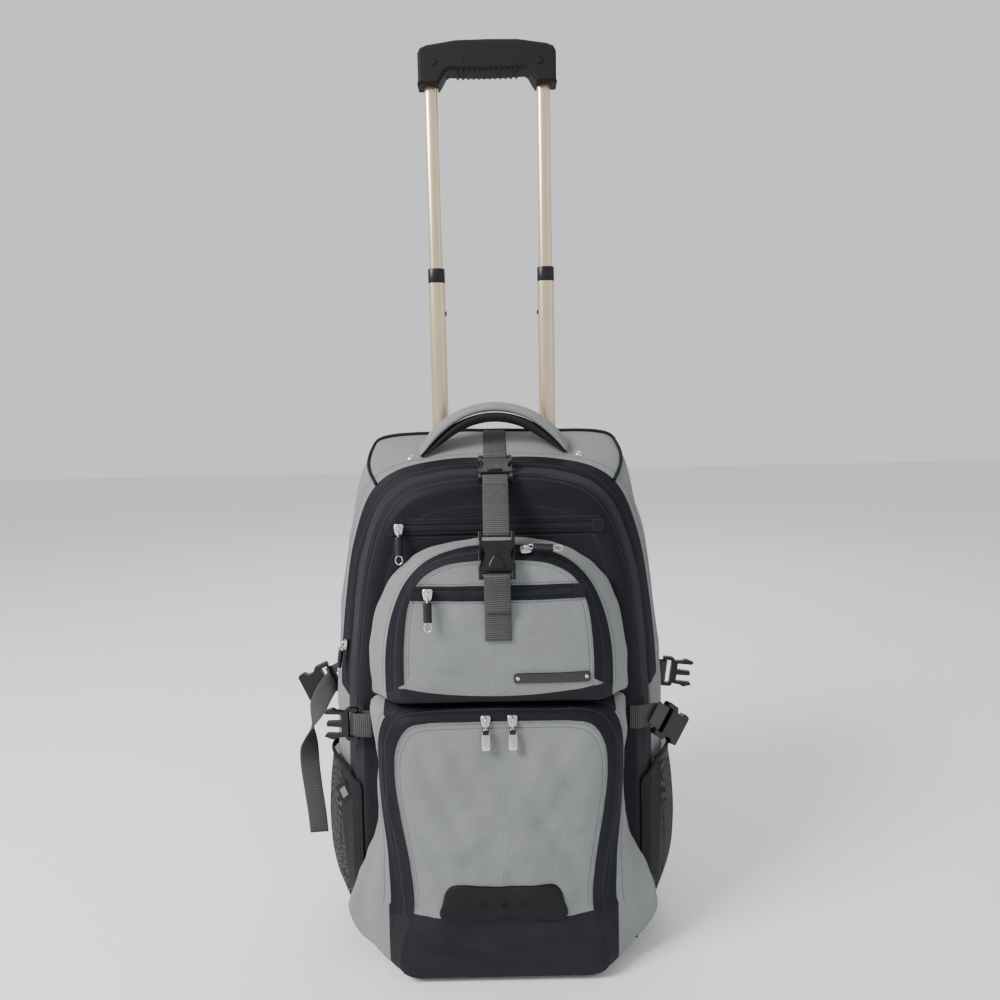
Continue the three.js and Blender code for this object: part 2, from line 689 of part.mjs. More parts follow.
function bezelPlate() {
  const w = bezel.halfWidth;
  const d = bezel.depth / 2;
  const corner = 5;
  const ring = [
    [-w + corner, -d], [w - corner, -d], [w, -d + corner], [w, d - corner],
    [w - corner, d], [-w + corner, d], [-w, d - corner], [-w, -d + corner],
  ];
  const top = bodyTop + 5;
  const body = plate(ring, bezel.thick + 4).translate(0, tubeY, top - (bezel.thick + 4) / 2);
  const holes = sides.flatMap(([, side]) => [
    ovalBar(middleTube, catchProud + seam, outerBottom, middleTop).translate(side * tubeX, tubeY, 0),
    ovalBar(outerTube, seam, outerBottom, outerTop + seam).translate(side * tubeX, tubeY, 0),
  ]);
  return cut(body, ...holes);
}
add('tube_bezel', bezelPlate(), finishes.blackPlastic);

function gripSolid() {
  const w = gripHalfWidth;
  const right = columns('side', 'down')([
    [0, 0], [0.45, 0.5], [0.86, 5], [0.96, 8], [1, 14], [1, gripLeg - 4], [0.975, gripLeg],
    [0.72, gripLeg], [0.66, gripLeg - 5], [0.60, gripArch + 0.5], [0.56, gripArch - 1.5],
    [0.3, gripArch - 0.5], [0, gripArch],
  ]).map(({ side, down }) => [side * w, gripTop - down]);
  const left = right.slice(1, -1).reverse().map(([x, z]) => [-x, z]);
  const bevel = 3;
  const outlinePoints = inset([...right, ...left].map(([x, z]) => v3(x, 0, z)).reverse(), bevel)
    .map((p) => new THREE.Vector2(p.x, p.z));
  const body = new THREE.ExtrudeGeometry(new THREE.Shape(outlinePoints), {
    depth: gripDepth - 2 * bevel,
    bevelEnabled: true, bevelThickness: bevel, bevelSize: bevel, bevelSegments: 1,
  }).rotateX(Math.PI / 2).translate(0, tubeY + gripDepth / 2 - bevel, 0);
  const sockets = sides.map(([, side]) => ovalBar(innerTube, seam, 0, innerTop + seam)
    .translate(side * tubeX, tubeY, 0));
  return cut(body, ...sockets, buttonBox(seam, gripTop - button.sunk, gripTop + button.sunk));
}
// The release button, let into the top of the grip
const button = { halfWidth: 16, halfDepth: 7, sunk: 5, proud: 1 };
const buttonBox = (grow, z0, z1) => box(
  -button.halfWidth - grow, button.halfWidth + grow,
  tubeY - button.halfDepth - grow, tubeY + button.halfDepth + grow, z0, z1,
);
add('handle_grip', gripSolid(), finishes.blackPlastic);
add('release_button', buttonBox(0, gripTop - button.sunk + seam, gripTop + button.proud), finishes.rubber);

// Grab handle: a padded arch over the top, its outer half cloth and its inner half mesh.
// Its ends lie flat on the sloping top, and its middle is level.
const grabTable = columns('side', 'rise', 'outer', 'inner')([
  [-1, 0, 0.30, 0.16], [-0.90, 0.14, 0.55, 0.35], [-0.76, 0.40, 0.95, 0.85], [-0.48, 0.80, 1, 1],
  [-0.16, 1, 1, 1], [0.16, 1, 1, 1],
  [0.48, 0.80, 1, 1], [0.76, 0.40, 0.95, 0.85], [0.90, 0.14, 0.55, 0.35], [1, 0, 0.30, 0.16],
]);
const grabEndTop = (y) => topAt('main_compartment', grab.halfWidth, y);
const grabFoot = grabEndTop(grab.y) + 0.16 * grab.thick + seam;
const topSlope = Math.atan2(
  grabEndTop(grab.y + grab.wide / 2) - grabEndTop(grab.y - grab.wide / 2),
  grab.wide,
);
function grabHalf(up, column) {
  const path = new THREE.CatmullRomCurve3(grabTable.map(
    ({ side, rise }) => v3(side * grab.halfWidth, grab.y, grabFoot + rise * grab.rise),
  ), false, 'centripetal');
  const steps = 3 * (grabTable.length - 1);
  const sections = [];
  for (let k = 0; k <= steps; k += 2) {
    const t = Math.min(k, steps) / steps;
    const row = t * (grabTable.length - 1);
    const low = Math.min(Math.floor(row), grabTable.length - 2);
    const share = (name) => lerp(grabTable[low][name], grabTable[low + 1][name], row - low);
    const at = path.getPoint(t);
    const tilt = topSlope * (1 - share('rise'));
    const across = v3(0, Math.cos(tilt), Math.sin(tilt));
    const along = path.getTangent(t);
    const out = along.clone().cross(across).normalize();
    if (out.z < 0) out.negate();
    sections.push([0, 1, 2, 3, 4, 5].map((n) => {
      const angle = (n / 5) * Math.PI;
      const rise = (Math.sin(angle) * grab.thick * share(column) + seam / 2) * up;
      return at.clone()
        .addScaledVector(across, Math.cos(angle) * (grab.wide / 2))
        .addScaledVector(out, rise);
    }));
  }
  return loft(sections);
}
add('grab_handle', grabHalf(1, 'outer'), finishes.greyCloth);
add('grab_lining', grabHalf(-1, 'inner'), finishes.blackMesh);

// Centre strap: it comes over the top, through the upper buckle, and down to the buckle on the upper pocket
const acrossX = v3(1, 0, 0);
const lift = seam + webThick / 2;
const barTurn = Math.hypot(barThick, barDepth) / 2 + seam + webThick / 2 + 0.2;
const strapTopY = [53, 38, 20, 6];
const overTop = strapTopY.map((y) => v3(0, y, topAt('main_compartment', 0, y) + lift + 0.6));
const bite = 31; // how far below the upper pocket's top the lower buckle ends
const upperBuckle = {
  start: v3(0, mainLidY + 1, frontTop + 17),
  end: v3(0, frontLidY - 18, frontTop - 12),
};
const lowerBuckle = {
  start: v3(0, pocketLidY + 1, upperTop + 13),
  end: v3(0, pocketLidY - 2 * buckleThick, upperTop - bite),
};
function buckleOn({ start, end }, length) {
  const along = end.clone().sub(start).normalize();
  const middle = start.clone().add(end).multiplyScalar(0.5);
  const first = middle.addScaledVector(along, -length / 2);
  return { along, out: v3(0, along.z, -along.y), first };
}
const reach = buckle.joined;
const upperFit = buckleOn(upperBuckle, reach);
const lowerFit = buckleOn(lowerBuckle, reach);
const flip = (fit) => ({
  at: fit.first.clone().addScaledVector(fit.along, reach),
  along: fit.along.clone().negate(),
  out: fit.out,
});
for (const [name, fit] of [['upper_buckle', upperFit], ['lower_buckle', lowerFit]]) {
  const { at, along, out } = flip(fit);
  add(name, placed(closedBuckle(), at, along, out), finishes.blackPlastic);
}
const barMiddle = barDepth / 2;
const barTop = (fit) => fit.first.clone().addScaledVector(fit.along, barMiddle);
const barBottom = (fit) => fit.first.clone().addScaledVector(fit.along, reach - barMiddle);
const tuck = 16;
function loopAt(bar, arrive, out, length = tuck) {
  const turn = turnRound(bar, arrive, out, barTurn);
  const back = bar.clone().addScaledVector(out, -barTurn).addScaledVector(arrive, -length);
  return [...turn, back];
}
add('centre_webbing_top', strap([
  ...overTop,
  ...loopAt(barTop(upperFit), upperFit.along, upperFit.out),
], acrossX), finishes.webbing);
const downFromUpper = loopAt(barBottom(upperFit), upperFit.along.clone().negate(), upperFit.out).reverse();
add('centre_webbing_middle', strap([
  ...downFromUpper,
  ...loopAt(barTop(lowerFit), lowerFit.along, lowerFit.out),
], acrossX), finishes.webbing);
const hangTable = columns('down', 'proud')([[0.30, 1], [0.52, 0.95], [0.76, 0.6], [1, 0.35]]);
const hangAt = ({ down, proud }) => {
  const z = upperTop - lerp(bite, centreTail, down);
  return v3(0, frontAt('upper_pocket', 6, z) - lift - proud * (weltDepth + 1), z);
};
// The strap's sewn end hangs in front of the long tail.
const inFront = v3(0, -(webThick + seam + 1), 0);
const sewnEnd = [hangTable[1], hangTable[0]].map((row) => hangAt(row).add(inFront));
const tailTurn = turnRound(
  barBottom(lowerFit), lowerFit.along.clone().negate(), lowerFit.out, barTurn,
);
const tailLine = [...sewnEnd, ...tailTurn, ...hangTable.map(hangAt)];
add('centre_webbing_tail', strap(tailLine, acrossX), finishes.webbing);

// The half width of everything that a mesh pocket wraps, at one depth and height.
function bodySide(side, y, z) {
  const reach = Object.values(shells).map((mesh) => {
    const point = surfaceOf(mesh, v3(side * farAway, y, z), v3(-side, 0, 0));
    return point ? point.x * side : 0;
  });
  return Math.max(...reach);
}

// Mesh side pockets: a sheet from the front seam round the side to the back seam, open at the top.
// around is a share of the way back, out a share of the bulge, up a share of the height.
const pocketAround = columns('around', 'out')([
  [0, 0], [0.10, 0.25], [0.28, 0.62], [0.48, 0.92], [0.66, 1], [0.85, 0.72], [1, 0.30],
]);
const pocketUp = columns('up', 'swell')([
  [0, 0.22], [0.04, 0.30], [0.09, 0.42], [0.18, 0.70], [0.36, 0.96], [0.58, 1], [0.80, 0.80],
  [0.95, 0.55], [1, 0.50],
]);
function meshSheet(side) {
  const frontY = frontLidY + 3;
  const behindPocket = frontLidY - 6;
  const clear = 0.75;
  const cornerLook = 6;
  const sheet = (off) => pocketUp.map(({ up, swell }) => pocketAround.map(({ around, out }) => {
    const y = lerp(frontY, meshPocket.backY, around);
    const z = lerp(meshPocket.bottom, meshPocket.top, up) - meshPocket.dip * up * (1 - around) ** 2;
    const flare = bodySide(side, behindPocket, z) * (1 - around) ** 3;
    const body = Math.max(bodySide(side, y, z), bodySide(side, y, z + cornerLook), flare);
    return v3(side * (body + clear + off + meshPocket.swell * swell * out), y, z);
  }));
  const outerSkin = sheet(meshPocket.wall);
  const innerSkin = sheet(0);
  const rows = outerSkin.map((row, r) => [...row, ...innerSkin[r].slice().reverse()]);
  const wide = pocketAround.length;
  const round = 2 * wide;
  const faces = [];
  const quad = (a, b, c, d) => faces.push(a, b, c, a, c, d);
  for (let r = 0; r + 1 < rows.length; r += 1) {
    for (let i = 0; i < round; i += 1) {
      const j = (i + 1) % round;
      quad(r * round + i, r * round + j, (r + 1) * round + j, (r + 1) * round + i);
    }
  }
  const last = (rows.length - 1) * round;
  for (let i = 0; i + 1 < wide; i += 1) {
    const partner = round - 1 - i;
    quad(i + 1, i, partner, partner - 1);
    quad(last + i, last + i + 1, last + partner - 1, last + partner);
  }
  return facingOut(rows.flat(), faces);
}
for (const [name, side] of sides) {
  add(`mesh_pocket_${name}`, meshSheet(side), finishes.blackMesh);
}

// Side straps, unfastened: a short front webbing with its half buckle, and a rear one on each side
const upwards = v3(0, 0, 1);
function besideBody(side, y, z) {
  const half = webWidth / 2;
  const reach = Math.max(...[-half, 0, half].map((dz) => bodySide(side, y, z + dz)));
  return v3(side * (reach + lift + 0.2), y, z);
}

// The front webbing lies on the charcoal face beside the pocket and reaches past it to the buckle's bar.
const faceY = frontLidY - lift - 0.2;
const frontEdge = frontHalfWidth - 22;
const looped = (start, bar, along, out, across) => {
  const turn = loopAt(bar, along, out.clone().negate());
  return strap([...start, ...turn], across);
};
const leftStart = [-frontEdge + 13, -frontEdge + 4].map((x) => v3(x, faceY, strapZ));
const leftAlong = v3(-1, 0.1, 0).normalize();
const leftOut = v3(-0.1, -1, 0).normalize();
const leftBar = v3(-frontEdge - 4, faceY - barTurn - 0.6, strapZ);
add('left_front_webbing', looped(leftStart, leftBar, leftAlong, leftOut, upwards), finishes.webbing);
const onBar = (bar, along) => bar.clone().addScaledVector(along, -barMiddle);
const leftMale = placed(maleBuckle(), onBar(leftBar, leftAlong), leftAlong, leftOut);
add('left_front_buckle', leftMale, finishes.blackPlastic);

const rightTable = columns('past', 'back')([[-9, 0], [1, 0], [11, 4], [18, 10]]);
const rightStart = rightTable.map(({ past, back }) => v3(frontEdge + past, faceY + back, strapZ));
const rightAlong = v3(0.66, 0.42, -0.62).normalize();
const rightFacing = v3(0.5, -0.85, 0);
const rightOut = rightFacing.addScaledVector(rightAlong, -rightFacing.dot(rightAlong)).normalize();
const rightAcross = rightAlong.clone().cross(rightOut).normalize();
const rightBar = rightStart[3].clone()
  .addScaledVector(rightAlong, 9).addScaledVector(rightOut, barTurn);
const behindBar = (bar, along, out, back) => bar.clone()
  .addScaledVector(out, -barTurn).addScaledVector(along, -back);
const rightTurn = [
  behindBar(rightBar, rightAlong, rightOut, 4),
  ...loopAt(rightBar, rightAlong, rightOut.clone().negate()),
];
add('right_front_webbing', ribbon([
  ...rightStart.slice(0, 3).map((at) => ({ at, across: upwards.clone().negate() })),
  ...rightTurn.map((at) => ({ at, across: rightAcross })),
], webWidth, webThick), finishes.webbing);
const rightFemale = placed(femaleBuckle(), onBar(rightBar, rightAlong), rightAlong, rightOut);
add('right_front_buckle', rightFemale, finishes.blackPlastic);

// The rear halves stand out sideways from the seam behind the main compartment.
const rearY = mainBackY - 6;
function rearStrap(side, z, half, tilt, length) {
  const lead = [0, -4].map((dy) => ({ at: besideBody(side, rearY + dy, z), across: upwards }));
  const along = v3(side * Math.cos(tilt), 0, Math.sin(tilt));
  const out = v3(0, -1, 0);
  const across = v3(-along.z * side, 0, along.x * side);
  const bar = lead[1].at.clone().addScaledVector(along, length).addScaledVector(out, 5);
  return {
    bar, along, out, across,
    lead: [...lead, { at: behindBar(bar, along, out, 5), across }],
    buckle: placed(half, onBar(bar, along), along, out),
  };
}
const rearRight = rearStrap(1, strapZ + 12, maleBuckle(), -0.12, 14);
const rearRightTurn = loopAt(rearRight.bar, rearRight.along, rearRight.out.clone().negate(), tuck / 3);
add('right_rear_webbing', ribbon([
  ...rearRight.lead,
  ...rearRightTurn.map((at) => ({ at, across: rearRight.across })),
], webWidth, webThick), finishes.webbing);
add('right_rear_buckle', rearRight.buckle, finishes.blackPlastic);

// The left rear webbing leaves its bar in a long free tail.
// turn counts quarter turns about the strap's own line.
const tailTable = columns('drop', 'aside', 'forward', 'turn')([
  [0.07, 0.22, 0.7, 0], [0.15, 0.50, 1, 0.2], [0.24, 0.75, 1, 0.7], [0.32, 0.90, 0.9, 1.1],
  [0.42, 1.02, 0.7, 1.6], [0.54, 1.06, 0.5, 1.9], [0.70, 1.0, 0.35, 2], [0.86, 0.90, 0.3, 2],
  [1, 0.84, 0.3, 2],
]);
const rearLeft = rearStrap(-1, strapZ + 20, femaleBuckle(), -0.42, 19);
const leftTurn = turnRound(rearLeft.bar, rearLeft.along, rearLeft.out.clone().negate(), barTurn);
const tailPath = tailTable.map(({ drop, aside, forward }) => rearLeft.bar.clone().add(v3(
  -tail.aside * aside, -tail.forward * forward - barTurn, -tail.length * drop,
)));
const tailStations = tailPath.map((at, i) => {
  const before = tailPath[Math.max(0, i - 1)];
  const after = tailPath[Math.min(tailPath.length - 1, i + 1)];
  const along = after.clone().sub(before).normalize();
  const flat = v3(0, 1, 0).cross(along).normalize();
  const angle = (tailTable[i].turn * Math.PI) / 2;
  return { at, across: flat.multiplyScalar(Math.cos(angle)).addScaledVector(v3(0, 1, 0), Math.sin(angle)) };
});
const leftTurned = [...leftTurn, rearLeft.bar.clone().add(v3(0, -barTurn - 3, -4))];
add('left_rear_webbing', ribbon([
  ...rearLeft.lead, ...leftTurned.map((at) => ({ at, across: rearLeft.across })), ...tailStations,
], tail.width, webThick), finishes.webbing);
add('left_rear_buckle', rearLeft.buckle, finishes.blackPlastic);

// Welt zips let into the front faces
function weltZip(name, { halfWidth, z, height }) {
  const stations = [-1, -0.6, -0.2, 0.2, 0.6, 1].map((share) => {
    const x = share * halfWidth;
    const face = Math.min(...[-height / 2, 0, height / 2].map((dz) => frontAt(name, x, z + dz)));
    return v3(x, face - seam - 0.3 - weltDepth / 2, z);
  });
  return strap(stations, upwards, height, weltDepth);
}
const welts = {
  front: { halfWidth: 108, z: frontTop - frontWeltDown, height: weltHeight, pullX: -97 },
  upper: { halfWidth: 84, z: upperTop - upperWeltDown, height: weltHeight, pullX: -66 },
};
const frontWelt = add('front_welt_zip', weltZip('front_compartment', welts.front), finishes.zipTape);
const upperWelt = add('upper_welt_zip', weltZip('upper_pocket', welts.upper), finishes.zipTape);

// Zip pulls: a slider, a bound cord and a ring, hanging as one piece
function pullSolid(kind) {
  const slider = box(-4.2, 4.2, -4.6, 0, -6, 6);
  const bridge = box(-1.6, 1.6, -7, -4.2, -4, 4);
  const boundCord = new THREE.CylinderGeometry(4.3, 4.3, 17, 6).scale(1, 1, 0.6);
  const cord = kind === 'cord'
    ? boundCord.rotateX(Math.PI / 2).translate(0, -6.6, -17)
    : box(-4, 4, -8, -5, -20, -7);
  const link = box(-1.8, 1.8, -7.6, -5.4, -10, -3);
  const end = kind === 'cord'
    ? new THREE.TorusGeometry(4.6, 0.9, 4, 8).rotateX(Math.PI / 2).translate(0, -6.6, -29)
    : new THREE.CylinderGeometry(4.8, 4.8, 3.4, 8).translate(0, -6.5, -22);
  return fuse(slider, bridge, link, cord, end);
}
// Hangs a pull on its seat, with its back to the surface.
function addPull(name, kind, { at, hang, out }) {
  const mesh = add(name, pullSolid(kind), finishes.nickel);
  const z = hang.clone().negate();
  const y = out.clone().negate();
  mesh.quaternion.setFromRotationMatrix(new THREE.Matrix4().makeBasis(y.clone().cross(z), y, z));
  mesh.position.copy(at).addScaledVector(out, pullRest);
}
const pullRest = 0.5;
// A seat on the front of a piece: the place, the way a pull hangs there and the way it faces.
function seatOn(mesh, x, z) {
  const [above, below] = [4, -4].map((dz) => surfaceOf(mesh, v3(x, -farAway, z + dz), v3(0, 1, 0)));
  const hang = below.clone().sub(above).normalize();
  return { at: above.lerp(below, 0.5), hang, out: v3(0, hang.z, -hang.y) };
}
addPull('pull_front_welt', 'cord', seatOn(frontWelt, welts.front.pullX, welts.front.z));
addPull('pull_upper_welt', 'cord', seatOn(upperWelt, welts.upper.pullX, welts.upper.z));
addPull('pull_lower_left', 'tip', seatOn(shells.lower_pocket, lowerPullX[0], pocketSplit - 12));
addPull('pull_lower_right', 'tip', seatOn(shells.lower_pocket, lowerPullX[1], pocketSplit - 12));

// The top of a zip band's coil and the way it faces, at one share of the way round the outline.
function onZip(spec, share) {
  const { rings, rimRing } = outerRings(spec);
  const i = Math.round(share * spec.count);
  const [rim, lid] = [rings[rimRing], rings[rimRing + 1]];
  const along = rim[i + 1].clone().sub(rim[i - 1]).normalize();
  const out = lid[i].clone().sub(rim[i]).cross(along).normalize();
  const middle = rim[i].clone().add(lid[i]).multiplyScalar(0.5);
  if (out.dot(v3(middle.x, -farAway, 0)) < 0) out.negate();
  return { at: middle.addScaledVector(out, coilHeight), hang: along, out };
}
addPull('pull_main', 'cord', onZip(compartments.main_compartment, 0.70));
const archSeat = onZip(compartments.upper_pocket, 0.46);
archSeat.hang.negate();
archSeat.at.addScaledVector(archSeat.hang, 7);
addPull('pull_upper_arch', 'cord', archSeat);

// Shoulder straps: padded, sewn to the back panel at the top and bowed clear of the pad.
// down, bow and aside are shares of the strap's length, bow and spread.
const shoulderTable = columns('down', 'bow', 'aside', 'wide', 'thick')([
  [0, 0, 0, 0.62, 0.6], [0.05, 0.35, 0.02, 0.85, 0.9], [0.16, 0.80, 0.08, 1, 1],
  [0.34, 1, 0.24, 1, 1], [0.54, 0.95, 0.46, 0.98, 1], [0.74, 0.72, 0.70, 0.90, 1],
  [0.90, 0.50, 0.88, 0.72, 0.8], [1, 0.40, 1, 0.55, 0.6],
]);
const shoulderSection = columns('across', 'out')([
  [-0.5, 0], [-0.4, 0.5], [0, 0.5], [0.4, 0.5], [0.5, 0], [0.4, -0.5], [0, -0.5], [-0.4, -0.5],
]);
for (const [name, side] of sides) {
  const path = shoulderTable.map(({ down, bow, aside, thick }) => v3(
    side * lerp(shoulder.topX, shoulder.bottomX, aside),
    backY1 + seam + (shoulder.thick * lerp(thick, 1, Math.min(1, 4 * down))) / 2 + bow * shoulder.bow,
    lerp(shoulder.top, shoulder.bottom, down),
  ));
  const direction = (i) => {
    const next = path[Math.min(i + 1, path.length - 1)];
    return next.clone().sub(path[Math.max(i - 1, 0)]).normalize();
  };
  add(`shoulder_strap_${name}`, loft(path.map((at, i) => {
    const { wide, thick } = shoulderTable[i];
    const across = direction(i).cross(v3(0, 1, 0)).normalize();
    const out = across.clone().cross(direction(i));
    return shoulderSection.map((point) => at.clone()
      .addScaledVector(across, point.across * shoulder.wide * wide)
      .addScaledVector(out, point.out * shoulder.thick * thick));
  })), finishes.charcoalCloth);

  const end = path[path.length - 1];
  const up = direction(path.length - 1).negate();
  const back = v3(0, 1, 0).addScaledVector(up, -up.y).normalize();
  const foot = end.clone().addScaledVector(up, -lock.length - seam);
  const w = buckleWidth / 2;
  const halfSlot = buckle.slotHalf;
  const bars = [barDepth, lock.length / 2 + barDepth / 2];
  const lockPlate = plate(rectangle(-w, w, 0, lock.length), lock.thick, bars.map(
    (y) => rectangle(-halfSlot, halfSlot, y, y + (lock.length - 3 * barDepth) / 2).reverse(),
  ));
  const lockRelief = barRelief(halfSlot, barDepth + 1);
  add(`ladder_lock_${name}`, placed(cut(lockPlate, ...lockRelief), foot, up, back), finishes.blackPlastic);
  const bar = foot.clone().addScaledVector(up, barMiddle);
  const across = up.clone().cross(back).normalize();
  const anchor = [shoulder.webZ - 22, shoulder.webZ - 10].map(
    (z) => v3(side * shoulder.webX, backY1 + lift, z),
  );
  const overPad = v3(side * (shoulder.webX - 3), backY1 + padDepth + lift + 3, padBottom - 4);
  const nearBar = bar.clone().addScaledVector(back, barTurn).addScaledVector(up, -6);
  const line = [...anchor, overPad, nearBar, ...loopAt(bar, up, back, tuck / 6)];
  add(`shoulder_webbing_${name}`, strap(line, across), finishes.webbing);
}

// Label plate and bumper patch
const labelPlate = () => {
  const { x0, x1, height, thick } = label;
  const z = upperTop - label.down;
  const corners = [x0, (x0 + x1) / 2, x1].flatMap((x) => [-1, 1].map((s) => [x, z + (s * height) / 2]));
  const face = Math.min(...corners.map(([x, cornerZ]) => frontAt('upper_pocket', x, cornerZ))) - seam;
  return box(x0, x1, face - thick, face, z - height / 2, z + height / 2);
};
add('label_plate', labelPlate(), finishes.blackPlastic);

// up is a share of the patch's height, half a share of its half width at the bottom.
const patchRows = columns('up', 'half')([[0, 1], [0.42, 0.96], [0.79, 0.905], [1, 0.79]]);
function bumperPatch() {
  const rows = patchRows.map(({ up, half }) => ({
    z: lerp(patch.bottom, patch.top, up), half: half * patch.halfWidth,
  }));
  const shares = [-1, -0.75, -0.5, -0.25, 0, 0.25, 0.5, 0.75, 1];
  const skin = (off) => rows.map(({ z, half }) => shares.map((share) => {
    const x = share * half;
    return v3(x, frontAt('lower_pocket', x, z) - patch.clear - off, z);
  }));
  const nearSkin = skin(patch.thick);
  const farSkin = skin(0);
  const wide = shares.length;
  const vertices = [...nearSkin.flat(), ...farSkin.flat()];
  const faces = [];
  const quad = (a, b, c, d) => faces.push(a, b, c, a, c, d);
  const behind = rows.length * wide;
  for (let r = 0; r + 1 < rows.length; r += 1) {
    for (let i = 0; i + 1 < wide; i += 1) {
      const k = r * wide + i;
      quad(k, k + 1, k + wide + 1, k + wide);
      quad(behind + k, behind + k + wide, behind + k + wide + 1, behind + k + 1);
    }
    const leftEdge = r * wide;
    const rightEdge = leftEdge + wide - 1;
    quad(leftEdge, leftEdge + wide, behind + leftEdge + wide, behind + leftEdge);
    quad(rightEdge, behind + rightEdge, behind + rightEdge + wide, rightEdge + wide);
  }
  const top = (rows.length - 1) * wide;
  for (let i = 0; i + 1 < wide; i += 1) {
    quad(i, behind + i, behind + i + 1, i + 1);
    quad(top + i, top + i + 1, behind + top + i + 1, behind + top + i);
  }
  return geometryFrom(vertices, faces);
}
add('bumper_patch', bumperPatch(), finishes.rubber);

// Stand the bag with its origin at the middle of its base
const extent = new THREE.Box3().setFromObject(bag);
bag.position.set(-(extent.min.x + extent.max.x) / 2, -(extent.min.y + extent.max.y) / 2, -extent.min.z);

export default bag;
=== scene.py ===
import math

import bmesh
import bpy
import numpy as np
from mathutils import Matrix, Vector, noise
from mathutils.bvhtree import BVHTree


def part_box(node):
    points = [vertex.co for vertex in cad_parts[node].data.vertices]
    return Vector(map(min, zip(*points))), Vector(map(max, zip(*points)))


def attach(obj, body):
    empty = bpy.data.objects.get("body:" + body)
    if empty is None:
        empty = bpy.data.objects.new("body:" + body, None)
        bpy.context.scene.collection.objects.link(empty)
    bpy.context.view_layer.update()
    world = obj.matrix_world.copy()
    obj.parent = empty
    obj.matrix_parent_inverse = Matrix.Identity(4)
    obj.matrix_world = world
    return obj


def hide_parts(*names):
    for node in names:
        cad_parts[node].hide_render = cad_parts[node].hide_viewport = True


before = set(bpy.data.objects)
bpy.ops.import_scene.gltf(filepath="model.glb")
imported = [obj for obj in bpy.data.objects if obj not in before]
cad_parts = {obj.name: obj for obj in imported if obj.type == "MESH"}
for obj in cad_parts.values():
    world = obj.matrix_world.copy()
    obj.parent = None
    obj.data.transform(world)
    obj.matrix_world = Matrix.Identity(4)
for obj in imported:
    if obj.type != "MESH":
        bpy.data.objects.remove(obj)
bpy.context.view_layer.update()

bl_info = {
    "name": "Wheeled backpack",
    "version": (1, 0, 0),
    "blender": (4, 5, 0),
    "location": "View3D > Sidebar > Backpack",
    "description": "Dresses the frame of a wheeled backpack with cloth, zips, straps and its trolley",
    "category": "Add Mesh",
}

# Sizes are in millimetres, in the bag's own frame: x = 0 is its middle, z = 0 the floor, and the front
# faces -Y. TO_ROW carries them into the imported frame.
TUBE_X, TUBE_Y = 62.5, 84.0
GRIP_TOP = 981.0
FAR = 2000.0
FOLD_GAIN = 2.5  # a fold table gives heights before this share is put on them


def frame_shift():
    """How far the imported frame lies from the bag's own frame, in mm."""
    grip_low, grip_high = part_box("handle_grip")
    tube_low, tube_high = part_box("inner_tube_left")
    y = (tube_low.y + tube_high.y) * 500 - TUBE_Y
    return np.array([(grip_low.x + grip_high.x) * 500, y, 0.0])


TO_ROW = frame_shift()


def to_row(points):
    """Points of the bag's own frame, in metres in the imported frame."""
    return (np.asarray(points, float) + TO_ROW) / 1000


# Outlines in front view, right half from bottom centre to top centre: share of the half width, share of
# the height. They are the frame's own.
MAIN_BACK = [
    (0, 0), (0.80, 0), (0.92, 0.01), (0.96, 0.05), (1.0, 0.25), (1.0, 0.45), (0.97, 0.62),
    (0.90, 0.78), (0.83, 0.90), (0.795, 0.975), (0.75, 0.998), (0.4, 1.008), (0, 1.012),
]
ARCH = [
    (0, 0), (0.90, 0), (0.975, 0.02), (1.0, 0.10), (1.0, 0.35), (0.975, 0.57), (0.93, 0.71),
    (0.865, 0.83), (0.75, 0.925), (0.60, 0.972), (0.35, 0.995), (0, 1.0),
]
UPPER = [
    (0, 0), (0.90, 0), (0.99, 0.02), (1.0, 0.12), (0.985, 0.36), (0.92, 0.58), (0.79, 0.78),
    (0.60, 0.91), (0.30, 0.985), (0, 1.0),
]
UPPER_LID = [
    (0, 0), (0.92, 0), (1.0, 0.03), (1.01, 0.15), (0.99, 0.46), (0.93, 0.70), (0.80, 0.87),
    (0.56, 0.965), (0.26, 0.995), (0, 1.0),
]
LOWER = [
    (0, 0), (0.62, 0), (0.80, 0.02), (0.91, 0.06), (0.98, 0.12), (1.0, 0.18), (0.93, 0.32), (0.80, 0.50),
    (0.765, 0.66), (0.765, 0.80), (0.79, 0.93), (0.79, 0.985), (0.72, 1.0), (0, 1.0),
]
LOWER_RIM = [
    (0, 0), (0.80, 0), (0.95, 0.03), (0.97, 0.12), (0.90, 0.25), (0.92, 0.42), (0.98, 0.62),
    (1.0, 0.80), (0.975, 0.91), (0.88, 0.98), (0.74, 1.0), (0.38, 1.004), (0, 1.005),
]
LOWER_LID = [
    (0, 0), (0.82, 0), (0.96, 0.03), (0.95, 0.13), (0.86, 0.27), (0.885, 0.45), (0.96, 0.65),
    (1.0, 0.81), (0.97, 0.92), (0.86, 0.985), (0.70, 1.0), (0.35, 1.003), (0, 1.004),
]
PAD = [(0, 0), (0.8, 0), (0.97, 0.03), (1, 0.12), (1, 0.6), (0.9, 0.9), (0.78, 0.99), (0, 1)]

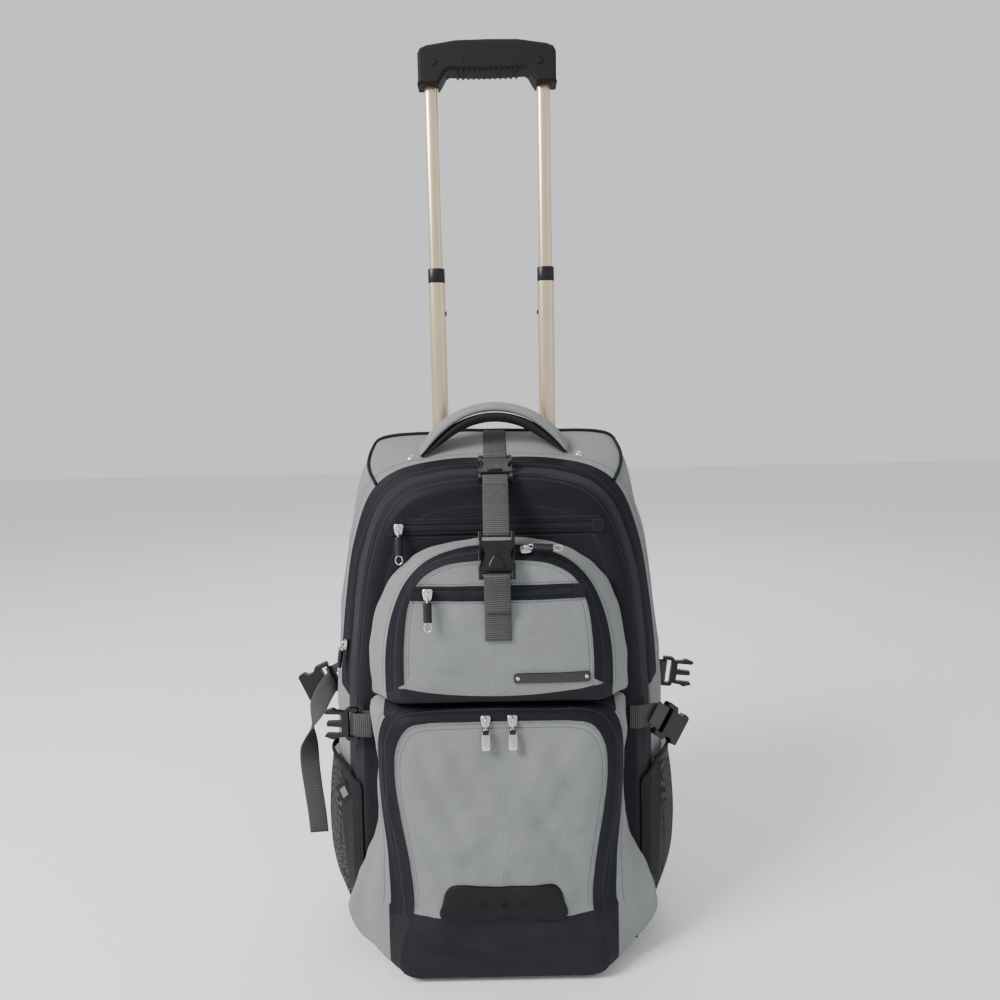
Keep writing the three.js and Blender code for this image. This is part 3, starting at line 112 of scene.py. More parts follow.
# Each compartment: its back, rim and lid outlines as (rows, half width, bottom, top), the depths of the
# three, the bulge of its sides, the crown of its face, and where its zip starts round the outline.
COMPARTMENTS = {
    "main": dict(
        back=(MAIN_BACK, 174, 16, 549), rim=(ARCH, 173, 16, 525), lid=(ARCH, 167, 18, 520),
        back_y=60, rim_y=-3, lid_y=-15, swell=12, crown=0, zip_from=10 / 36,
    ),
    "front": dict(
        back=(ARCH, 165, 16, 519), rim=(ARCH, 153, 16, 515), lid=(ARCH, 143, 18, 507),
        back_y=-15.3, rim_y=-48, lid_y=-60, swell=0, crown=0, zip_from=9 / 32,
    ),
    "upper": dict(
        back=(UPPER, 131, 292, 454), rim=(UPPER, 108, 294, 450), lid=(UPPER_LID, 95, 301, 442),
        back_y=-60.3, rim_y=-93, lid_y=-105, swell=3, crown=8, zip_from=0.188,
    ),
    "lower": dict(
        back=(LOWER, 163, 5, 291.7), rim=(LOWER_RIM, 120, 5, 289.7), lid=(LOWER_LID, 109, 7, 285),
        back_y=-60.3, rim_y=-93, lid_y=-105, swell=4, crown=15, zip_from=0.181,
    ),
}


def smooth_step(x, low, high):
    t = np.clip((np.asarray(x, float) - low) / (high - low), 0, 1)
    return t * t * (3 - 2 * t)


def spline(points, per_span=24, closed=False):
    """Centripetal Catmull-Rom through the points, as a dense line."""
    p = np.asarray(points, float)
    count = len(p)
    line = []
    spans = count if closed else count - 1
    for i in range(spans):
        p1, p2 = p[i], p[(i + 1) % count]
        p0 = p[(i - 1) % count] if closed or i else 2 * p1 - p2
        p3 = p[(i + 2) % count] if closed or i + 2 < count else 2 * p2 - p1
        d0, d1, d2 = (max(np.linalg.norm(b - a) ** 0.5, 1e-4) for a, b in ((p0, p1), (p1, p2), (p2, p3)))
        m1 = ((p1 - p0) / d0 - (p2 - p0) / (d0 + d1) + (p2 - p1) / d1) * d1
        m2 = ((p2 - p1) / d1 - (p3 - p1) / (d1 + d2) + (p3 - p2) / d2) * d1
        t = np.linspace(0, 1, per_span, endpoint=False)[:, None]
        line.append(
            p1 + m1 * t + (-3 * p1 + 3 * p2 - 2 * m1 - m2) * t**2 + (2 * p1 - 2 * p2 + m1 + m2) * t**3
        )
    if not closed:
        line.append(p[-1:])
    return np.vstack(line)


def even(line, count, closed=False):
    """The same line with its points evenly spaced."""
    whole = np.vstack([line, line[:1]]) if closed else line
    lengths = np.concatenate([[0], np.cumsum(np.linalg.norm(np.diff(whole, axis=0), axis=1))])
    wanted = np.linspace(0, lengths[-1], count, endpoint=not closed)
    return np.stack([np.interp(wanted, lengths, whole[:, k]) for k in range(whole.shape[1])], axis=1)


def outline(spec, count):
    """Points of a closed outline, evenly spaced from the bottom centre and up the right side."""
    rows, half, bottom, top = spec
    right = [(side * half, bottom + (top - bottom) * up) for side, up in rows]
    left = [(-x, z) for x, z in right[1:-1]][::-1]
    points = even(spline(right + left, 24, closed=True), count, closed=True)
    highest = bottom + (top - bottom) * max(up for _, up in rows)
    points[:, 1] = np.clip(points[:, 1], bottom, highest)
    return points


def inward(points):
    step = np.roll(points, -1, axis=0) - np.roll(points, 1, axis=0)
    n = np.stack([-step[:, 1], step[:, 0]], axis=1)
    return n / np.linalg.norm(n, axis=1, keepdims=True)


def at_depth(flat, y):
    depth = np.full(len(flat), y) if np.isscalar(y) else y
    return np.stack([flat[:, 0], depth, flat[:, 1]], axis=1)


def grid_normals(a, wrap):
    """Outward unit normals of a grid of points whose rows run from back to front."""
    along = np.gradient(a, axis=0)
    if wrap:
        across = np.roll(a, -1, axis=1) - np.roll(a, 1, axis=1)
    else:
        across = np.gradient(a, axis=1)
    n = np.cross(across, along)
    return n / np.maximum(np.linalg.norm(n, axis=2, keepdims=True), 1e-9)


def folds(points, table):
    """How far each point sinks or rises by the folds: (start, end, width, depth), depth down positive."""
    out = np.zeros(points.shape[:-1])
    for start, end, width, depth in table:
        a, b = np.array(start, float), np.array(end, float)
        along = b - a
        t = np.clip(((points - a) @ along) / (along @ along), 0, 1)
        nearest = a + t[..., None] * along
        d = np.linalg.norm(points - nearest, axis=-1) / width
        taper = 0.25 + 0.75 * np.sin(np.pi * np.clip(t, 0.02, 0.98))
        out -= depth * taper * (np.exp(-d**2) - 0.45 * np.exp(-((d / 2.2) ** 2)))
    return out


def softness(points, scale, seed):
    flat = points.reshape(-1, 3)
    values = [noise.noise(Vector(p / scale) + Vector((seed, 2.7 * seed, 5.1))) for p in flat]
    return np.array(values).reshape(points.shape[:-1])


class Shape:
    """Points, faces, texture places and finishes of one piece while it is being made."""

    def __init__(self):
        self.points, self.faces, self.uv, self.kind = [], [], [], []
        self.count = 0
        self.zone = None

    def add(self, points, faces, uv=None, kind=0):
        points = np.asarray(points, float).reshape(-1, 3)
        if uv is None:
            uv = np.stack([points[:, 0] + points[:, 1], points[:, 2] + 0.5 * points[:, 1]], axis=1)
        self.points.append(points)
        self.uv.append(np.asarray(uv, float).reshape(-1, 2) / 1000)
        self.faces += [tuple(int(v) + self.count for v in face) for face in faces]
        self.kind += list(kind) if np.ndim(kind) else [kind] * len(faces)
        self.count += len(points)
        return self

    def grid(self, a, kind=0, uv=None, wrap=False):
        rows, cols = a.shape[:2]
        faces = []
        for r in range(rows - 1):
            for c in range(cols if wrap else cols - 1):
                d = (c + 1) % cols
                faces.append((r * cols + c, r * cols + d, (r + 1) * cols + d, (r + 1) * cols + c))
        kinds = kind.reshape(-1) if isinstance(kind, np.ndarray) else kind
        return self.add(a.reshape(-1, 3), faces, uv, kinds)

    def sweep(self, sections, kind=0, uv=None, caps=True):
        """A closed solid through sections, each the same number of points in order."""
        a = np.asarray(sections, float)
        rows, cols = a.shape[:2]
        base = self.count
        if uv is None:
            along = np.concatenate([[0], np.cumsum(np.linalg.norm(np.diff(a.mean(1), axis=0), axis=1))])
            round_ = np.concatenate([[0], np.cumsum(np.linalg.norm(np.diff(a[0], axis=0), axis=1))])
            uv = np.stack(np.meshgrid(round_, along), axis=2)
        self.grid(a, kind, uv, wrap=True)
        if caps:
            self.faces += [tuple(base + c for c in reversed(range(cols)))]
            self.faces += [tuple(base + (rows - 1) * cols + c for c in range(cols))]
            self.kind += [kind, kind]
        return self

    def piece(self, name, finishes, slot, body="root", stands_for=(), sharp=None):
        mesh = bpy.data.meshes.new(name)
        mesh.from_pydata(to_row(np.vstack(self.points)).tolist(), [], self.faces)
        for finish in finishes:
            mesh.materials.append(finish)
        mesh.polygons.foreach_set("material_index", self.kind)
        mesh.polygons.foreach_set("use_smooth", [True] * len(self.faces))
        layer = mesh.uv_layers.new(name="Cloth")
        corners = np.empty(len(mesh.loops), int)
        mesh.loops.foreach_get("vertex_index", corners)
        layer.data.foreach_set("uv", np.vstack(self.uv)[corners].ravel())
        if self.zone is not None:
            mesh.attributes.new("zone", "FLOAT", "POINT").data.foreach_set("value", self.zone)
        made = bmesh.new()
        made.from_mesh(mesh)
        bmesh.ops.recalc_face_normals(made, faces=made.faces)
        made.to_mesh(mesh)
        made.free()
        if sharp:
            mesh.set_sharp_from_angle(angle=math.radians(sharp))
        obj = bpy.data.objects.new(name, mesh)
        bpy.context.scene.collection.objects.link(obj)
        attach(obj, body)
        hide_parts(*stands_for)
        return obj


def frames(path, up):
    """Unit vectors along a path, and two across it, the first nearest to up."""
    along = np.gradient(path, axis=0)
    along /= np.maximum(np.linalg.norm(along, axis=1, keepdims=True), 1e-9)
    first = np.asarray(up, float) * np.ones_like(path)
    first -= along * np.sum(first * along, axis=1, keepdims=True)
    first /= np.maximum(np.linalg.norm(first, axis=1, keepdims=True), 1e-9)
    return along, first, np.cross(along, first)


def tube(shape, path, radius, up=(0.31, 0.2, 0.93), sides=8, kind=0, flat=1.0, closed=False):
    """A round or flattened cord along a path; radius may be a list. flat squeezes it along up."""
    path = np.asarray(path, float)
    radius = np.ones(len(path)) * radius
    _, a, b = frames(path, up)
    if closed:
        step = np.roll(path, -1, axis=0) - np.roll(path, 1, axis=0)
        step /= np.linalg.norm(step, axis=1, keepdims=True)
        a = np.asarray(up, float) * np.ones_like(path)
        a -= step * np.sum(a * step, axis=1, keepdims=True)
        a /= np.linalg.norm(a, axis=1, keepdims=True)
        b = np.cross(step, a)
    angle = np.linspace(0, 2 * math.pi, sides, endpoint=False)
    ring = flat * np.cos(angle)[None, :, None] * a[:, None, :] + np.sin(angle)[None, :, None] * b[:, None, :]
    sections = path[:, None, :] + radius[:, None, None] * ring
    if closed:
        sections = np.concatenate([sections, sections[:1]])
    return shape.sweep(sections, kind, caps=not closed)


def stitches(shape, path, normals, pitch=3.6, length=2.5, thick=0.35, kind=0):
    """A row of stitches standing just out of the cloth along a path."""
    path = np.asarray(path, float)
    lengths = np.concatenate([[0], np.cumsum(np.linalg.norm(np.diff(path, axis=0), axis=1))])
    centres = np.arange(pitch / 2, lengths[-1], pitch)

    def read(values, s):
        return np.stack([np.interp(s, lengths, values[:, k]) for k in range(3)], axis=1)

    normals = np.asarray(normals, float) * np.ones_like(path)
    stations = [read(path, centres + share * length) for share in (-0.5, -0.22, 0.22, 0.5)]
    out = read(normals, centres)
    for i in range(len(centres)):
        along = stations[3][i] - stations[0][i]
        along /= max(np.linalg.norm(along), 1e-9)
        side = np.cross(along, out[i])
        rings = []
        for point, height in zip((s[i] for s in stations), (0.1, 1.0, 1.0, 0.1)):
            centre = point + out[i] * thick * (0.5 * height - 0.15)
            angle = np.linspace(0, 2 * math.pi, 5, endpoint=False)
            size = thick * (0.35 + 0.65 * height)
            turn = np.cos(angle)[:, None] * side + 0.6 * np.sin(angle)[:, None] * out[i]
            rings.append(centre + size * turn)
        shape.sweep(rings, kind)
    return shape


class Surface:
    """A finished mesh that other pieces are seated on."""

    def __init__(self, *objects):
        points, faces = [], []
        for obj in objects:
            start = len(points)
            points += [tuple(1000 * v.co[k] - TO_ROW[k] for k in range(3)) for v in obj.data.vertices]
            faces += [tuple(start + v for v in p.vertices) for p in obj.data.polygons]
        self.tree = BVHTree.FromPolygons(points, faces)

    def hit(self, start, direction):
        point, normal, _, _ = self.tree.ray_cast(Vector(start), Vector(direction))
        if point is None:
            return None
        if normal.dot(Vector(direction)) > 0:
            normal = -normal
        return np.array(point), np.array(normal)

    def front(self, x, z):
        """Where a line straight back from the front meets the surface, and the way it faces there."""
        found = self.hit((x, -FAR, z), (0, 1, 0))
        if found is None:
            raise RuntimeError(f"nothing in front at x {x:.1f}, z {z:.1f}")
        return found

    def drape(self, flat, lift=0.0):
        """A line in front view laid on the surface: its points and the ways they face."""
        found = [self.front(x, z) for x, z in flat]
        normals = np.array([n for _, n in found])
        return np.array([p for p, _ in found]) + lift * normals, normals


SURFACES = {}


def cad_surface(*nodes):
    key = nodes
    if key not in SURFACES:
        SURFACES[key] = Surface(*(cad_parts[n] for n in nodes))
    return SURFACES[key]


class Sock:
    """A node's output whose arithmetic adds Math nodes beside it."""

    def __init__(self, graph, socket):
        self.graph, self.socket = graph, socket

    def maths(self, operation, *values):
        return self.graph.node("ShaderNodeMath", {"operation": operation}, *values)

    def __add__(self, other):
        return self.maths("ADD", self, other)

    def __sub__(self, other):
        return self.maths("SUBTRACT", self, other)

    def __rsub__(self, other):
        return self.maths("SUBTRACT", other, self)

    def __mul__(self, other):
        return self.maths("MULTIPLY", self, other)

    def __truediv__(self, other):
        return self.maths("DIVIDE", self, other)

    __radd__, __rmul__ = __add__, __mul__

    def sine(self):
        return self.maths("SINE", self)

    def size(self):
        return self.maths("ABSOLUTE", self)

    def above(self, edge):
        return self.maths("GREATER_THAN", self, edge)

    def band(self, low, high):
        """0 below low, 1 above high, and smooth between."""
        settings = {"interpolation_type": "SMOOTHSTEP"}
        return self.graph.node("ShaderNodeMapRange", settings, self, low, high, 0.0, 1.0)


class Graph:
    """The nodes of one finish."""

    def __init__(self, name):
        self.finish = bpy.data.materials.new(name)
        self.finish.use_nodes = True
        self.tree = self.finish.node_tree
        self.shader = self.tree.nodes["Principled BSDF"]

    def node(self, kind, settings=None, *values, output=0, **named):
        """Any node: its settings are set first, then its sockets by place or by name."""
        made = self.tree.nodes.new(kind)
        for key, value in (settings or {}).items():
            if key == "stops":
                self.set_stops(made.color_ramp, value)
            else:
                setattr(made, key, value)
        for place, value in list(enumerate(values)) + list(named.items()):
            self.feed(made.inputs[place.replace("_", " ") if isinstance(place, str) else place], value)
        return Sock(self, made.outputs[output])

    def set_stops(self, ramp, stops):
        while len(ramp.elements) < len(stops):
            ramp.elements.new(0.5)
        for element, (place, colour) in zip(ramp.elements, stops):
            element.position, element.color = place, (*colour, 1)

    def feed(self, socket, value):
        if isinstance(value, Sock):
            self.tree.links.new(value.socket, socket)
        elif value is not None:
            socket.default_value = (*value, 1) if np.ndim(value) and len(socket.default_value) == 4 else value

    def mix(self, factor, a, b):
        made = self.tree.nodes.new("ShaderNodeMix")
        made.data_type = "RGBA"
        for place, value in ((0, factor), (6, a), (7, b)):
            self.feed(made.inputs[place], value)
        return Sock(self, made.outputs[2])

    def noise(self, place, scale, detail=3.0, rough=0.55):
        return self.node("ShaderNodeTexNoise", {}, Vector=place, Scale=scale, Detail=detail, Roughness=rough)

    def cloth_place(self):
        """The texture place in metres, as its two numbers."""
        uv = self.node("ShaderNodeUVMap", {"uv_map": "Cloth"})
        parts = self.tree.nodes.new("ShaderNodeSeparateXYZ")
        self.feed(parts.inputs[0], uv)
        return Sock(self, parts.outputs[0]), Sock(self, parts.outputs[1])

    def own_place(self):
        return self.node("ShaderNodeTexCoord", {}, output="Object")

    def surface(self, colour, rough, metal=0.0, bump=None, depth=0.0003, strength=1.0, alpha=None, **fixed):
        self.feed(self.shader.inputs["Base Color"], colour)
        self.feed(self.shader.inputs["Roughness"], rough)
        self.feed(self.shader.inputs["Metallic"], metal)
        if alpha is not None:
            self.feed(self.shader.inputs["Alpha"], alpha)
        for key, value in fixed.items():
            self.feed(self.shader.inputs[key.replace("_", " ")], value)
        if bump is not None:
            made = self.node("ShaderNodeBump", {}, Strength=strength, Distance=depth, Height=bump)
            self.feed(self.shader.inputs["Normal"], made)
        return self.finish


def cloth_finish(name, light, dark, worn, pitch=0.0016, rough=0.82, depth=0.0004, sheen=0.03, second=None):
    """Ballistic cloth: pairs of threads over and under, faint dirt and rubbed places.

    second is another cloth's light, dark and worn colours, shown where the piece's zone is above 0.
    """
    g = Graph(name)
    u, v = g.cloth_place()
    k = math.pi / pitch
    over = (u * k).sine() * (v * k).sine()
    warp = (u * (2 * k)).sine().size()
    weft = (v * (2 * k)).sine().size()
    top = over.above(0.0)
    thread = warp * top + weft * (1 - top)
    place = g.own_place()
    cloud = g.noise(place, 9.0, 4.0)
    fine = g.noise(place, 420.0, 2.0)

    def colours(bright, deep, rubbed):
        shade = g.mix(thread * 0.65 + fine * 0.35, deep, bright)
        return g.mix(cloud.band(0.5, 0.78) * 0.45, shade, rubbed)

    colour = colours(light, dark, worn)
    if second:
        zone = g.node("ShaderNodeAttribute", {"attribute_name": "zone"}, output="Fac")
        colour = g.mix(zone.band(-0.25, 0.25), colour, colours(*second))
    height = thread * 0.7 + fine * 0.3
    return g.surface(colour, cloud * 0.12 + (rough - 0.06), bump=height, depth=depth,
                     Sheen_Weight=sheen, Specular_IOR_Level=0.12)


def tape_finish(name, light, dark, pitch=0.0026):
    """Zip tape: a fine weave, with the teeth of the coil along its middle, where the second place is 0."""
    g = Graph(name)
    u, v = g.cloth_place()
    teeth = (u * (2 * math.pi / pitch)).sine() * 0.5 + 0.5
    middle = 1 - v.size().band(0.0022, 0.0028)
    ribs = (v * (2 * math.pi / 0.0009)).sine() * 0.5 + 0.5
    fine = g.noise(g.own_place(), 300.0, 2.0)
    colour = g.mix(teeth * middle * 0.6 + fine * 0.4, dark, light)
    height = teeth * middle * 0.7 + ribs * 0.15 + fine * 0.1
    return g.surface(colour, fine * 0.2 + 0.5, bump=height, depth=0.0004, Specular_IOR_Level=0.16)


def plastic_finish(name, colour, rub, rough=0.38, grain=900.0, shine=0.3):
    g = Graph(name)
    place = g.own_place()
    fine = g.noise(place, grain, 3.0)
    cloud = g.noise(place, 14.0, 4.0)
    tint = g.mix(cloud.band(0.45, 0.8) * 0.5, colour, rub)
    return g.surface(tint, cloud * 0.14 + (rough - 0.05), bump=fine, depth=0.00008,
                     Specular_IOR_Level=shine)


def metal_finish(name, colour, rub, rough=0.3, along=(2.0, 2.0, 60.0), metal=1.0):
    g = Graph(name)
    stretch = g.node("ShaderNodeVectorMath", {"operation": "MULTIPLY"}, g.own_place(), along)
    grain = g.noise(stretch, 30.0, 3.0)
    cloud = g.noise(g.own_place(), 11.0, 4.0)
    tint = g.mix(cloud.band(0.4, 0.8) * 0.6, colour, rub)
    return g.surface(tint, grain * 0.18 + (rough - 0.08), metal, bump=grain, depth=0.00003)


def webbing_finish(name, light, dark, rib=0.0021):
    """Webbing: ribs across the strap, with faint threads along it."""
    g = Graph(name)
    u, v = g.cloth_place()
    ribs = (v * (2 * math.pi / rib)).sine() * 0.5 + 0.5
    threads = (u * (2 * math.pi / 0.0032)).sine() * 0.5 + 0.5
    fine = g.noise(g.own_place(), 500.0, 2.0)
    colour = g.mix(ribs * 0.6 + threads * 0.06 + fine * 0.3, dark, light)
    height = ribs * 0.8 + threads * 0.06
    return g.surface(colour, 0.8, bump=height, depth=0.0005, Specular_IOR_Level=0.15)


def net_finish(name, colour, hole=0.0034, web=0.52):
    """Open netting: round holes in staggered rows, seen through by Alpha."""
    g = Graph(name)
    u, v = g.cloth_place()
    k = 2 * math.pi / hole
    cell = (u * k).maths("COSINE", u * k) * (v * (k * 0.62)).maths("COSINE", v * (k * 0.62))
    solid = 1 - cell.size().band(web - 0.08, web + 0.08)
    fine = g.noise(g.own_place(), 500.0, 2.0)
    tint = g.mix(fine, colour, tuple(2.4 * c for c in colour))
    finish = g.surface(tint, 0.7, bump=cell.size(), depth=0.0004, alpha=solid, Specular_IOR_Level=0.12)
    finish.surface_render_method = "DITHERED"
    return finish


FINISHES = {}
# The two cloths: the light and the dark of their weave, and the colour where they are rubbed
GREY = ((0.300, 0.318, 0.306), (0.095, 0.103, 0.099), (0.205, 0.217, 0.207))
CHARCOAL = ((0.026, 0.021, 0.027), (0.006, 0.005, 0.007), (0.034, 0.029, 0.034))


def finish(name):
    """Each finish is made once, the first time that a piece asks for it."""
    if name not in FINISHES:
        FINISHES[name] = FINISH_MAKERS[name](name)
    return FINISHES[name]


FINISH_MAKERS = {
    "grey_weave": lambda n: cloth_finish(n, *GREY),
    "two_weaves": lambda n: cloth_finish(n, *GREY, second=CHARCOAL),
    "charcoal_weave": lambda n: cloth_finish(n, *CHARCOAL),
    "zip_tape": lambda n: tape_finish(n, (0.020, 0.021, 0.029), (0.003, 0.003, 0.005)),
    "piping": lambda n: tape_finish(n, (0.018, 0.018, 0.022), (0.006, 0.006, 0.008), 0.0011),
    "spacer_mesh": lambda n: cloth_finish(
        n, (0.030, 0.030, 0.034), (0.004, 0.004, 0.005), (0.036, 0.036, 0.040), 0.0030, depth=0.0009),
    "black_cord": lambda n: plastic_finish(n, (0.005, 0.005, 0.006), (0.010, 0.010, 0.011), 0.5),
    "grip_plastic": lambda n: plastic_finish(n, (0.006, 0.006, 0.006), (0.010, 0.010, 0.010), 0.62, 500.0, 0.2),
    "gunmetal": lambda n: metal_finish(n, (0.030, 0.030, 0.032), (0.05, 0.05, 0.052), 0.42, metal=0.6),
    "netting": lambda n: net_finish(n, (0.007, 0.007, 0.008), 0.0030, 0.72),
    "webbing": lambda n: webbing_finish(n, (0.098, 0.101, 0.097), (0.018, 0.019, 0.019)),
    "black_binding": lambda n: webbing_finish(n, (0.012, 0.012, 0.013), (0.004, 0.004, 0.005), 0.0014),
    "black_plastic": lambda n: plastic_finish(n, (0.005, 0.005, 0.006), (0.010, 0.010, 0.011), 0.32),
    "anodised": lambda n: metal_finish(n, (0.66, 0.54, 0.36), (0.56, 0.45, 0.29), 0.30, (40, 40, 0.6), 0.9),
    "nickel": lambda n: metal_finish(n, (0.62, 0.60, 0.55), (0.45, 0.42, 0.38), 0.28),
    "rubber": lambda n: plastic_finish(n, (0.007, 0.007, 0.008), (0.013, 0.013, 0.014), 0.55, 500.0, 0.16),
    "grey_thread": lambda n: plastic_finish(n, (0.30, 0.32, 0.32), (0.22, 0.24, 0.24), 0.7),
    "dark_thread": lambda n: plastic_finish(n, (0.045, 0.042, 0.05), (0.03, 0.03, 0.034), 0.7),
}


def cage(spec, count):
    """The outer face of a compartment as rows of points from back to front, and where its parts start."""
    back, rim, lid = (outline(spec[name], count) for name in ("back", "rim", "lid"))
    back_y, rim_y, lid_y = spec["back_y"], spec["rim_y"], spec["lid_y"]
    sides = []
    for share in np.linspace(0, 1, 17):
        flat = back + (rim - back) * share
        flat[:, 0] -= inward(flat)[:, 0] * spec["swell"] * math.sin(math.pi * share)
        sides.append(at_depth(flat, (back_y - 5) * (1 - share) + rim_y * share))
    corner = inward(back)
    rounded = [
        at_depth(back + corner * 5 * (1 - math.sin(a)), back_y - 5 * (1 - math.cos(a)))
        for a in np.linspace(0, math.pi / 2, 4)[:-1]
    ]
    strip = [at_depth(rim + (lid - rim) * s, rim_y + (lid_y - rim_y) * s) for s in np.linspace(0, 1, 15)[1:]]
    centre = np.array([0.0, (spec["lid"][2] + spec["lid"][3]) / 2])
    face = [
        at_depth(centre + (lid - centre) * s, lid_y - spec["crown"] * (1 - s * s))
        for s in np.linspace(1, 0.02, 44)[1:]
    ]
    rows = rounded + sides + strip + face
    at_rim = len(rounded) + len(sides) - 1
    return np.array(rows), at_rim, at_rim + len(strip)


def zip_window(count, start, blend=0.012):
    """1 where the zip runs round the outline and 0 where the cloth is sewn shut."""
    share = np.arange(count) / count
    return smooth_step(share, start - blend, start) * (1 - smooth_step(share, 1 - start, 1 - start + blend))


def dress_compartment(key, name, count, zone, fold_table, soft, stands_for, seats=()):
    """One cloth compartment: sides, a zip with its coil and beads, and its crowned face.

    zone gives, for points of the side or of the face, how far inside the charcoal cloth they lie, in mm.
    seats are places (x, z, half width, half height) where something lies on the cloth and keeps it flat.
    """
    spec = COMPARTMENTS[key]
    rows, at_rim, at_lid = cage(spec, count)
    normals = grid_normals(rows, wrap=True)
    if np.mean(normals[at_lid + 20:, :, 1]) > 0:
        normals = -normals
    n_rows = len(rows)
    window = zip_window(count, spec["zip_from"])
    across = np.clip((np.arange(n_rows) - at_rim) / (at_lid - at_rim), -1, 2)[:, None]
    coil = 1.3 * np.exp(-(((across - 0.5) / 0.10) ** 2))
    beads = sum(0.9 * np.exp(-(((across - c) / 0.05) ** 2)) for c in (-0.14, 0.2, 0.8, 1.14))
    on_zip = ((across > -0.3) & (across < 1.3)) * window[None, :]
    give = 1 - np.exp(-((np.minimum(abs(across), abs(across - 1)) / 0.5) ** 2))
    lift = on_zip * (coil + beads - 0.3)
    scale, depth, seed = soft
    crumple = softness(rows, scale, seed) + 0.42 * softness(rows, scale / 2.7, seed + 4)
    lift = lift + (depth * crumple + FOLD_GAIN * folds(rows, fold_table)) * give
    for x, z, wide, tall in seats:
        lift = lift * (1 - np.exp(-(((rows[..., 0] - x) / wide) ** 4) - (((rows[..., 2] - z) / tall) ** 4)))
    rows = rows + normals * lift[..., None]
    round_ = np.concatenate([[0], np.cumsum(np.linalg.norm(np.diff(rows[at_rim], axis=0), axis=1))])
    uv = np.zeros(rows.shape[:2] + (2,))
    down = np.concatenate([[0], np.cumsum(np.linalg.norm(np.diff(rows[:, count // 3], axis=0), axis=1))])
    uv[:at_lid + 3, :, 0] = round_[None, :]
    uv[:at_lid + 3, :, 1] = down[:at_lid + 3, None] - (down[at_rim] + down[at_lid]) / 2
    uv[at_lid + 3:] = rows[at_lid + 3:][..., [0, 2]]
    kinds = np.zeros((n_rows - 1, count), int)
    kinds[at_rim - 2:at_lid + 2] = (window > 0.5)[None, :]
    shape = Shape().grid(rows, kinds, uv, wrap=True)
    pole = rows[-1].mean(axis=0)
    hub = shape.count
    shape.add([pole], [], [pole[[0, 2]]])
    last = (n_rows - 1) * count
    shape.faces += [(last + c, last + (c + 1) % count, hub) for c in range(count)]
    shape.kind += [0] * count
    middle = (at_rim + at_lid) // 2
    sides = zone(rows[:middle].reshape(-1, 3), False)
    face = zone(np.vstack([rows[middle:].reshape(-1, 3), pole]), True)
    shape.zone = np.concatenate([sides, face])
    slot = "charcoal_cloth" if key == "front" else "grey_cloth"
    obj = shape.piece(name, [finish("two_weaves"), finish("zip_tape")], slot, stands_for=stands_for)

    sewn = Shape()
    columns = [c for c in range(count) if window[c] > 0.9]
    for row in (at_lid + 4, at_rim - 4):
        stitches(sewn, rows[row, columns] + 0.12 * normals[row, columns], normals[row, columns], 3.3, 2.2, 0.3)
    sewn.piece(name + "_stitching", [finish("dark_thread")], slot)
    return obj, rows, normals, at_rim, at_lid


def all_grey(points, on_face):
    """A zone with no charcoal cloth anywhere."""
    return np.full(len(points), -50.0)


def all_charcoal(points, on_face):
    """A zone that is charcoal cloth all over."""
    return np.full(len(points), 50.0)


def merged(node):
    """The corners of a frame node in millimetres, each once, and its triangles."""
    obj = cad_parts[node]
    points = np.array([tuple(v.co) for v in obj.data.vertices]) * 1000 - TO_ROW
    _, first, which = np.unique(np.round(points, 2), axis=0, return_index=True, return_inverse=True)
    which = which.ravel()
    faces = [tuple(int(which[v]) for v in p.vertices) for p in obj.data.polygons]
    return points[first], [face for face in faces if len(set(face)) == 3]


def strap_rings(node, width, thick):
    """The four corners of each station of a frame strap, from one end to the other."""
    points, faces = merged(node)
    near = {i: set() for i in range(len(points))}
    for face in faces:
        for a in face:
            near[a] |= set(face) - {a}
    wanted = np.array([thick, width, math.hypot(thick, width)])
    ends = []
    for face in faces:
        sides = sorted(np.linalg.norm(points[a] - points[b]) for a, b in zip(face, face[1:] + face[:1]))
        if np.allclose(sides, wanted, atol=0.08):
            ends.append(set(face))
    for i, end in enumerate(ends):
        for other in ends[i + 1:]:
            if len(end & other) != 2:
                continue
            ring, before, rings = end | other, set(), []
            while ring:
                rings.append(sorted(ring))
                ahead = set().union(*(near[v] for v in ring)) - ring - before
                before, ring = ring, ahead
            if all(len(r) == 4 for r in rings) and len(rings) * 4 == len(points):
                return [points[r] for r in rings]
    raise RuntimeError(f"{node} has no plain strap stations")


def strap_line(node, width=25.0, thick=1.5):
    """Centres of a frame strap's stations, with the directions across it and out of it."""
    centres, across, out = [], [], []
    for ring in strap_rings(node, width, thick):
        pairings = [((0, 1), (2, 3)), ((0, 2), (1, 3)), ((0, 3), (1, 2))]
        a, b = min(pairings, key=lambda p: sum(np.linalg.norm(ring[i] - ring[j]) for i, j in p))
        middles = [(ring[i] + ring[j]) / 2 for i, j in (a, b)]
        side = (middles[1] - middles[0]) / np.linalg.norm(middles[1] - middles[0])
        up = (ring[a[1]] - ring[a[0]]) / np.linalg.norm(ring[a[1]] - ring[a[0]])
        if across and side @ across[-1] < 0:
            side = -side
        if out and up @ out[-1] < 0:
            up = -up
        centres.append(ring.mean(axis=0))
        across.append(side)
        out.append(up)
    return np.array(centres), np.array(across), np.array(out)


